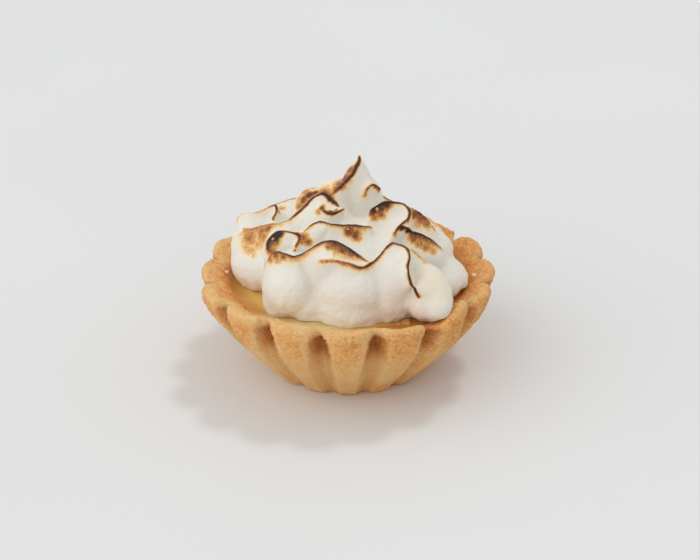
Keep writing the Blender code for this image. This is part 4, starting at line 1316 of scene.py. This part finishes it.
class TARTLET_OT_meringue(bpy.types.Operator):
    """Add the mound of torched meringue"""

    bl_idname = "tartlet.meringue"
    bl_label = "Add Meringue"

    def execute(self, context):
        settings = context.scene.tartlet_meringue
        mesh = fused(build_body("lobes"), settings.voxel, BODY_SMOOTHING)
        for share, nearness in PULLS:
            for ridge in RIDGES:
                front, behind = ridge["reach"]
                pull_ridge(mesh, crest_curve(ridge), front * nearness, behind * nearness, share)
            mesh = fused(mesh, settings.fine_voxel, SKIN_SMOOTHING)
        keep_off_shell(mesh)
        relief = read_normals(mesh) * foam_relief(mesh, settings)[:, None]
        write_points(mesh, read_points(mesh) + relief)
        push_pinholes(mesh)
        cut_flat(mesh, rim_height() - context.scene.tartlet_curd.depth + CUT_ABOVE_CURD)
        write_attribute(mesh, "scorch", scorch_values(mesh))
        finished("meringue_swirls", mesh, meringue_material(), "meringue")
        return {"FINISHED"}


def curd_material():
    """Soft glossy curd with a drier, paler skin where it thins against the shell, and painted shade along its
    edge against the pastry.
    """
    settings = bpy.context.scene.tartlet_curd
    material, tree, shader = new_material("lemon_curd")
    place = object_place(tree)
    skin = vertex_value(tree, "skin")
    cloud = noise_field(tree, place, 300.0, 3.0, 0.6)
    streaks = noise_field(tree, stretched(tree, place, (0.25, 1.0, 1.0)), 1800.0, 2.0)
    streaks = mapped(tree, streaks, 0.42, 0.6, 0.0, 0.5)
    darker = tinted(settings.colour, (0.86, 0.76, 0.6))
    colour = mixed(tree, mapped(tree, cloud, 0.45, 0.7, 0.0, 0.5), settings.colour, darker)
    # painted shade along the curd's edge by the pastry
    colour = mixed(tree, vertex_value(tree, "deep"), colour, settings.deep)
    colour = mixed(tree, skin, colour, settings.skin)
    finish = {
        "Base Color": mixed(tree, maths(tree, "MULTIPLY", streaks, skin), colour, settings.streak),
        "Roughness": mapped(tree, skin, 0.0, 1.0, 0.34, 0.46),
        "Specular IOR Level": 0.22,
        "Subsurface Weight": 0.35,
        "Subsurface Scale": 1.5 * MM,
        "Subsurface Radius": (1.0, 0.6, 0.15),
    }
    fill_inputs(tree, shader, finish)
    bumped(tree, shader, noise_field(tree, place, 500.0, 2.0), 0.4, 0.15 * MM)
    return material


def curd_profile(depth):
    """The curd's half section, from the middle of its top out and down under itself."""
    top = rim_height() - depth
    radii = [*np.linspace(*CURD_TOP_STEPS), *np.linspace(*CURD_EDGE_STEPS)]
    return [(radius * MM, top) for radius in radii] + section(CURD_UNDER, top)


class TARTLET_OT_curd(bpy.types.Operator):
    """Add the lemon curd with its skin at the front left"""

    bl_idname = "tartlet.curd"
    bl_label = "Add Lemon Curd"

    def execute(self, context):
        settings = context.scene.tartlet_curd
        mesh = turned("turned curd", curd_profile(settings.depth), CURD_TURNS, {})
        points, skin, deep = curd_surface(read_points(mesh), settings)
        write_points(mesh, points)
        write_attribute(mesh, "skin", skin)
        write_attribute(mesh, "deep", deep)
        finished("curd", mesh, curd_material(), "lemon_curd")
        return {"FINISHED"}


def curd_surface(points, settings):
    """Raise the curd's edge at the front left, wrinkle the skin there and mark painted shade along its edge.

    Returns the points, how much skin each has and how much painted shade each has by the pastry.
    """
    radius = np.hypot(points[:, 0], points[:, 1])
    angle = np.arctan2(points[:, 1], points[:, 0])
    on_top = points[:, 2] > rim_height() - settings.depth - 0.01 * MM
    off = np.angle(np.exp(1j * (angle - LIP_DIRECTION)))
    toward = np.exp(-((off / LIP_SPAN) ** 2))
    climb = share_between(radius / MM, *CLIMB_ZONE)
    lift = (settings.lip * toward * climb**1.5 + EDGE_CLIMB * climb**4) * on_top
    height = points[:, 2] + lift
    spread = (inner_radius(points, height) + CURD_OVERLAP - radius) * climb**2 * on_top
    scale = 1 + spread / np.maximum(radius, MM)
    moved = np.column_stack([points[:, 0] * scale, points[:, 1] * scale, height])
    covered = share_between(radius / MM, *SKIN_ZONE) * np.exp(-((off - SKIN_TURN) / SKIN_SPAN) ** 4)
    skin = covered * np.clip(0.8 + noise_values(moved, 240.0, 7.0), 0, 1) * on_top
    # painted shade near the pastry, reaching farther in at the right, under the tongue
    begins = np.interp(points[:, 0] / MM, *CURD_SHADE_START)
    deep = share_between(radius / MM, begins, begins + CURD_SHADE_WIDTH) * (1 - covered) * on_top
    waves = noise_values(moved, CURD_WAVES[0], 5.0) * CURD_WAVES[1]
    wrinkle = noise_values(moved * SKIN_DRAWN_OUT, SKIN_WRINKLES[0], 9.0) * SKIN_WRINKLES[1] * skin
    moved[:, 2] += (waves + wrinkle) * on_top
    return moved, skin, deep


def crumb_material():
    """Loose crumbs, from pale to toasted."""
    material, tree, shader = new_material("pastry_crumbs")
    place = object_place(tree)
    tone = noise_field(tree, place, 400.0, 1.0)
    stops = ((0.3, srgb(240, 206, 150)), (0.55, srgb(222, 168, 102)), (0.75, srgb(186, 120, 62)))
    fill_inputs(tree, shader, {"Base Color": ramp(tree, tone, stops), "Roughness": 0.7})
    bumped(tree, shader, noise_field(tree, place, 2400.0, 2.0), 0.5, 0.1 * MM)
    return material


def crumb_tree(material):
    """Geometry nodes that scatter crumbs over the parts of the shell marked for them."""
    sizes = [(name, "NodeSocketFloat") for name in ("Density", "Smallest", "Largest")]
    tree, given, result = new_geometry_tree("Crumbs", sizes)
    density = maths(tree, "MULTIPLY", named_value(tree, "crumbly"), given.outputs["Density"])
    scattered = add_node(
        tree,
        "GeometryNodeDistributePointsOnFaces",
        {"Mesh": given.outputs["Geometry"], "Density": density, "Seed": 11},
        distribute_method="RANDOM",
    )
    ball = add_node(tree, "GeometryNodeMeshIcoSphere", {"Radius": 1.0, "Subdivisions": 2})
    spot = tree.nodes.new("GeometryNodeInputPosition").outputs[0]
    ragged = add_node(tree, "ShaderNodeTexNoise", {"Vector": spot, "Scale": 1.3, "Detail": 2.0})
    from_middle = {0: ragged.outputs["Color"], 1: (0.5, 0.5, 0.5)}
    push = add_node(tree, "ShaderNodeVectorMath", from_middle, operation="SUBTRACT").outputs[0]
    push = add_node(tree, "ShaderNodeVectorMath", {0: push, "Scale": 2.2}, operation="SCALE").outputs[0]
    crumb = add_node(tree, "GeometryNodeSetPosition", {"Geometry": ball.outputs["Mesh"], "Offset": push})
    sizes = {2: given.outputs["Smallest"], 3: given.outputs["Largest"], "Seed": 5}
    size = add_node(tree, "FunctionNodeRandomValue", sizes, data_type="FLOAT")
    turns = {0: (0.0, 0.0, 0.0), 1: (6.28, 6.28, 6.28), "Seed": 8}
    spin = add_node(tree, "FunctionNodeRandomValue", turns, data_type="FLOAT_VECTOR")
    places = {
        "Points": scattered.outputs["Points"],
        "Instance": crumb.outputs[0],
        "Rotation": spin.outputs[0],
        "Scale": size.outputs[1],
    }
    placed = add_node(tree, "GeometryNodeInstanceOnPoints", places)
    coated(tree, result, placed.outputs[0], material)
    return tree


class TARTLET_OT_crumbs(bpy.types.Operator):
    """Add loose crumbs on the shell's rim and in its notches"""

    bl_idname = "tartlet.crumbs"
    bl_label = "Add Crumbs"

    def execute(self, context):
        settings = context.scene.tartlet_shell
        shell = bpy.data.objects["pastry_shell"]
        mesh = shell.data.copy()
        points = read_points(mesh)
        share = points[:, 2] / rim_height()
        radius = np.hypot(points[:, 0], points[:, 1]) / MM
        rim = share_between(share, 0.93, 0.98) * (radius > CRUMB_RADIUS)
        clumps = np.clip(noise_values(points, 230.0, 4.0) * 3.0 + 0.1, 0, 1)
        notch = np.clip(read_attribute(mesh, "valley") * 1.5, 0, 1)
        write_attribute(mesh, "crumbly", rim * clumps * (0.15 + 0.85 * notch))
        material = crumb_material()
        values = {
            "Density": settings.crumbs * PER_CM2,
            "Smallest": settings.smallest,
            "Largest": settings.largest,
        }
        mesh = applied(add_object("crumb base", mesh), crumb_tree(material), values)
        finished("pastry_crumbs", mesh, material)
        return {"FINISHED"}


def lumps(name, spots, raggedness, carrier):
    """One mesh of small rounded lumps set on a piece's surface."""
    tree = surface_tree(carrier.data)
    work = bmesh.new()
    for centre, radius in spots:
        foot, normal, _, _ = tree.find_nearest(Vector(above_rim(centre)))
        turn = normal.to_track_quat("Z", "Y")
        made = bmesh.ops.create_icosphere(work, subdivisions=3, radius=radius * MM)
        for vertex in made["verts"]:
            rough = 1 + raggedness * noise.noise(vertex.co / MM * 1.4 + Vector(centre))
            low = Vector((vertex.co.x, vertex.co.y, vertex.co.z * BEAD_FLATNESS)) * rough
            vertex.co = foot + turn @ low
    mesh = bpy.data.meshes.new(name)
    work.to_mesh(mesh)
    work.free()
    return mesh


def bead_material(name, colour, deep, rough, through):
    """Something small and glossy, a little darker in places."""
    material, tree, shader = new_material(name)
    tone = noise_field(tree, object_place(tree), 900.0, 2.0)
    finish = {
        "Base Color": ramp(tree, tone, ((0.35, colour), (0.7, deep))),
        "Roughness": rough,
        "Subsurface Weight": through,
        "Subsurface Scale": 0.6 * MM,
    }
    fill_inputs(tree, shader, finish)
    return material


class TARTLET_OT_beads(bpy.types.Operator):
    """Add caramel beads on the crests, sugar specks on the shell and beads of curd"""

    bl_idname = "tartlet.beads"
    bl_label = "Add Beads and Specks"

    def execute(self, context):
        caramel = bead_material("caramel", srgb(226, 176, 120), srgb(150, 84, 40), 0.12, 0.3)
        sugar = bead_material("sugar", srgb(246, 228, 212), srgb(232, 200, 176), 0.35, 0.4)
        gloss = tinted(context.scene.tartlet_curd.colour, (0.8, 0.8, 0.8))
        gloss = bead_material("curd_gloss", gloss, srgb(170, 112, 44), 0.1, 0.5)
        groups = (
            ("caramel_beads", CARAMEL_BEADS, 0.1, "meringue_swirls", "torched_meringue", caramel),
            ("sugar_specks", SUGAR_SPECKS, 0.5, "pastry_shell", "baked_shortcrust", sugar),
            ("curd_beads", CURD_BEADS, 0.2, "curd", "lemon_curd", gloss),
        )
        for name, spots, raggedness, carrier, slot, material in groups:
            mesh = lumps(name, spots, raggedness, bpy.data.objects[carrier])
            finished(name, mesh, material)
        return {"FINISHED"}


class TARTLET_OT_stage(bpy.types.Operator):
    """Add the floor, the lights and the camera"""

    bl_idname = "tartlet.stage"
    bl_label = "Add Stage"

    def execute(self, context):
        settings = context.scene.tartlet_stage
        add_floor(settings)
        add_lights(settings)
        add_camera(settings)
        context.scene.view_settings.view_transform = "Standard"
        return {"FINISHED"}


def add_floor(settings):
    mesh = bpy.data.meshes.new("floor")
    work = bmesh.new()
    bmesh.ops.create_grid(work, x_segments=1, y_segments=1, size=2.0)
    work.to_mesh(mesh)
    work.free()
    material, tree, shader = new_material("floor")
    tone = noise_field(tree, object_place(tree), 6.0, 2.0)
    low = tinted(settings.floor, (0.97, 0.97, 0.97))
    tones = ramp(tree, tone, ((0.3, low), (0.7, settings.floor)))
    fill_inputs(tree, shader, {"Base Color": tones, "Roughness": 0.6, "Specular IOR Level": 0.2})
    mesh.materials.append(material)
    add_object("floor", mesh)


def add_lights(settings):
    suns = (("key light", settings.key, *KEY_LIGHT), ("side light", settings.side, *SIDE_LIGHT))
    for name, strength, toward, spread in suns:
        sun = bpy.data.lights.new(name, "SUN")
        sun.energy = strength
        sun.angle = math.radians(spread)
        sun.color = LIGHT_COLOUR
        lamp = bpy.data.objects.new(name, sun)
        lamp.rotation_euler = Vector(toward).to_track_quat("Z", "Y").to_euler()
        bpy.context.scene.collection.objects.link(lamp)
    world = bpy.data.worlds.new("soft studio")
    bpy.context.scene.world = world
    world.use_nodes = True
    background = world.node_tree.nodes["Background"]
    fill_inputs(world.node_tree, background, {"Color": (*SKY_COLOUR, 1.0), "Strength": settings.sky})


def add_camera(settings):
    lens = bpy.data.cameras.new("camera")
    lens.lens = settings.lens
    lens.sensor_width = 36.0
    lens.shift_x = (FRAME_SIZE[0] / 2 - RIM_PIXEL[0]) / FRAME_SIZE[0]
    lens.shift_y = (RIM_PIXEL[1] - FRAME_SIZE[1] / 2) / FRAME_SIZE[0]
    lens.clip_start = 0.01
    camera = bpy.data.objects.new("camera", lens)
    away = Vector((0.0, -math.cos(settings.elevation), math.sin(settings.elevation)))
    camera.location = Vector((0.0, 0.0, rim_height())) + away * settings.distance
    camera.rotation_euler = away.to_track_quat("Z", "Y").to_euler()
    bpy.context.scene.collection.objects.link(camera)
    bpy.context.scene.camera = camera


class TARTLET_PT_panel(bpy.types.Panel):
    """Lists the tartlet's settings and operators"""

    bl_idname = "TARTLET_PT_panel"
    bl_label = "Lemon Meringue Tartlet"
    bl_space_type = "VIEW_3D"
    bl_region_type = "UI"
    bl_category = "Tartlet"

    def draw(self, context):
        for title, settings, operators in PANEL_ROWS:
            box = self.layout.box()
            box.label(text=title)
            group = getattr(context.scene, settings)
            for name in group.__annotations__:
                box.prop(group, name)
            for operator in operators:
                box.operator(operator)


PANEL_ROWS = (
    ("Pastry shell", "tartlet_shell", ("tartlet.shell", "tartlet.crumbs")),
    ("Lemon curd", "tartlet_curd", ("tartlet.curd",)),
    ("Meringue", "tartlet_meringue", ("tartlet.meringue",)),
    ("Stage", "tartlet_stage", ("tartlet.beads", "tartlet.stage")),
)
SETTINGS = {
    "tartlet_shell": ShellSettings,
    "tartlet_curd": CurdSettings,
    "tartlet_meringue": MeringueSettings,
    "tartlet_stage": StageSettings,
}
CLASSES = (
    TARTLET_OT_shell,
    TARTLET_OT_crumbs,
    TARTLET_OT_curd,
    TARTLET_OT_meringue,
    TARTLET_OT_beads,
    TARTLET_OT_stage,
    TARTLET_PT_panel,
)


def register():
    for group in SETTINGS.values():
        bpy.utils.register_class(group)
    for name, group in SETTINGS.items():
        setattr(bpy.types.Scene, name, PointerProperty(type=group))
    for item in CLASSES:
        bpy.utils.register_class(item)


def unregister():
    for item in reversed(CLASSES):
        bpy.utils.unregister_class(item)
    for name, group in SETTINGS.items():
        delattr(bpy.types.Scene, name)
        bpy.utils.unregister_class(group)


def main():
    register()
    bpy.ops.tartlet.shell()
    bpy.ops.tartlet.crumbs()
    bpy.ops.tartlet.curd()
    bpy.ops.tartlet.meringue()
    bpy.ops.tartlet.beads()
    bpy.ops.tartlet.stage()


if __name__ == "__main__":
    main()
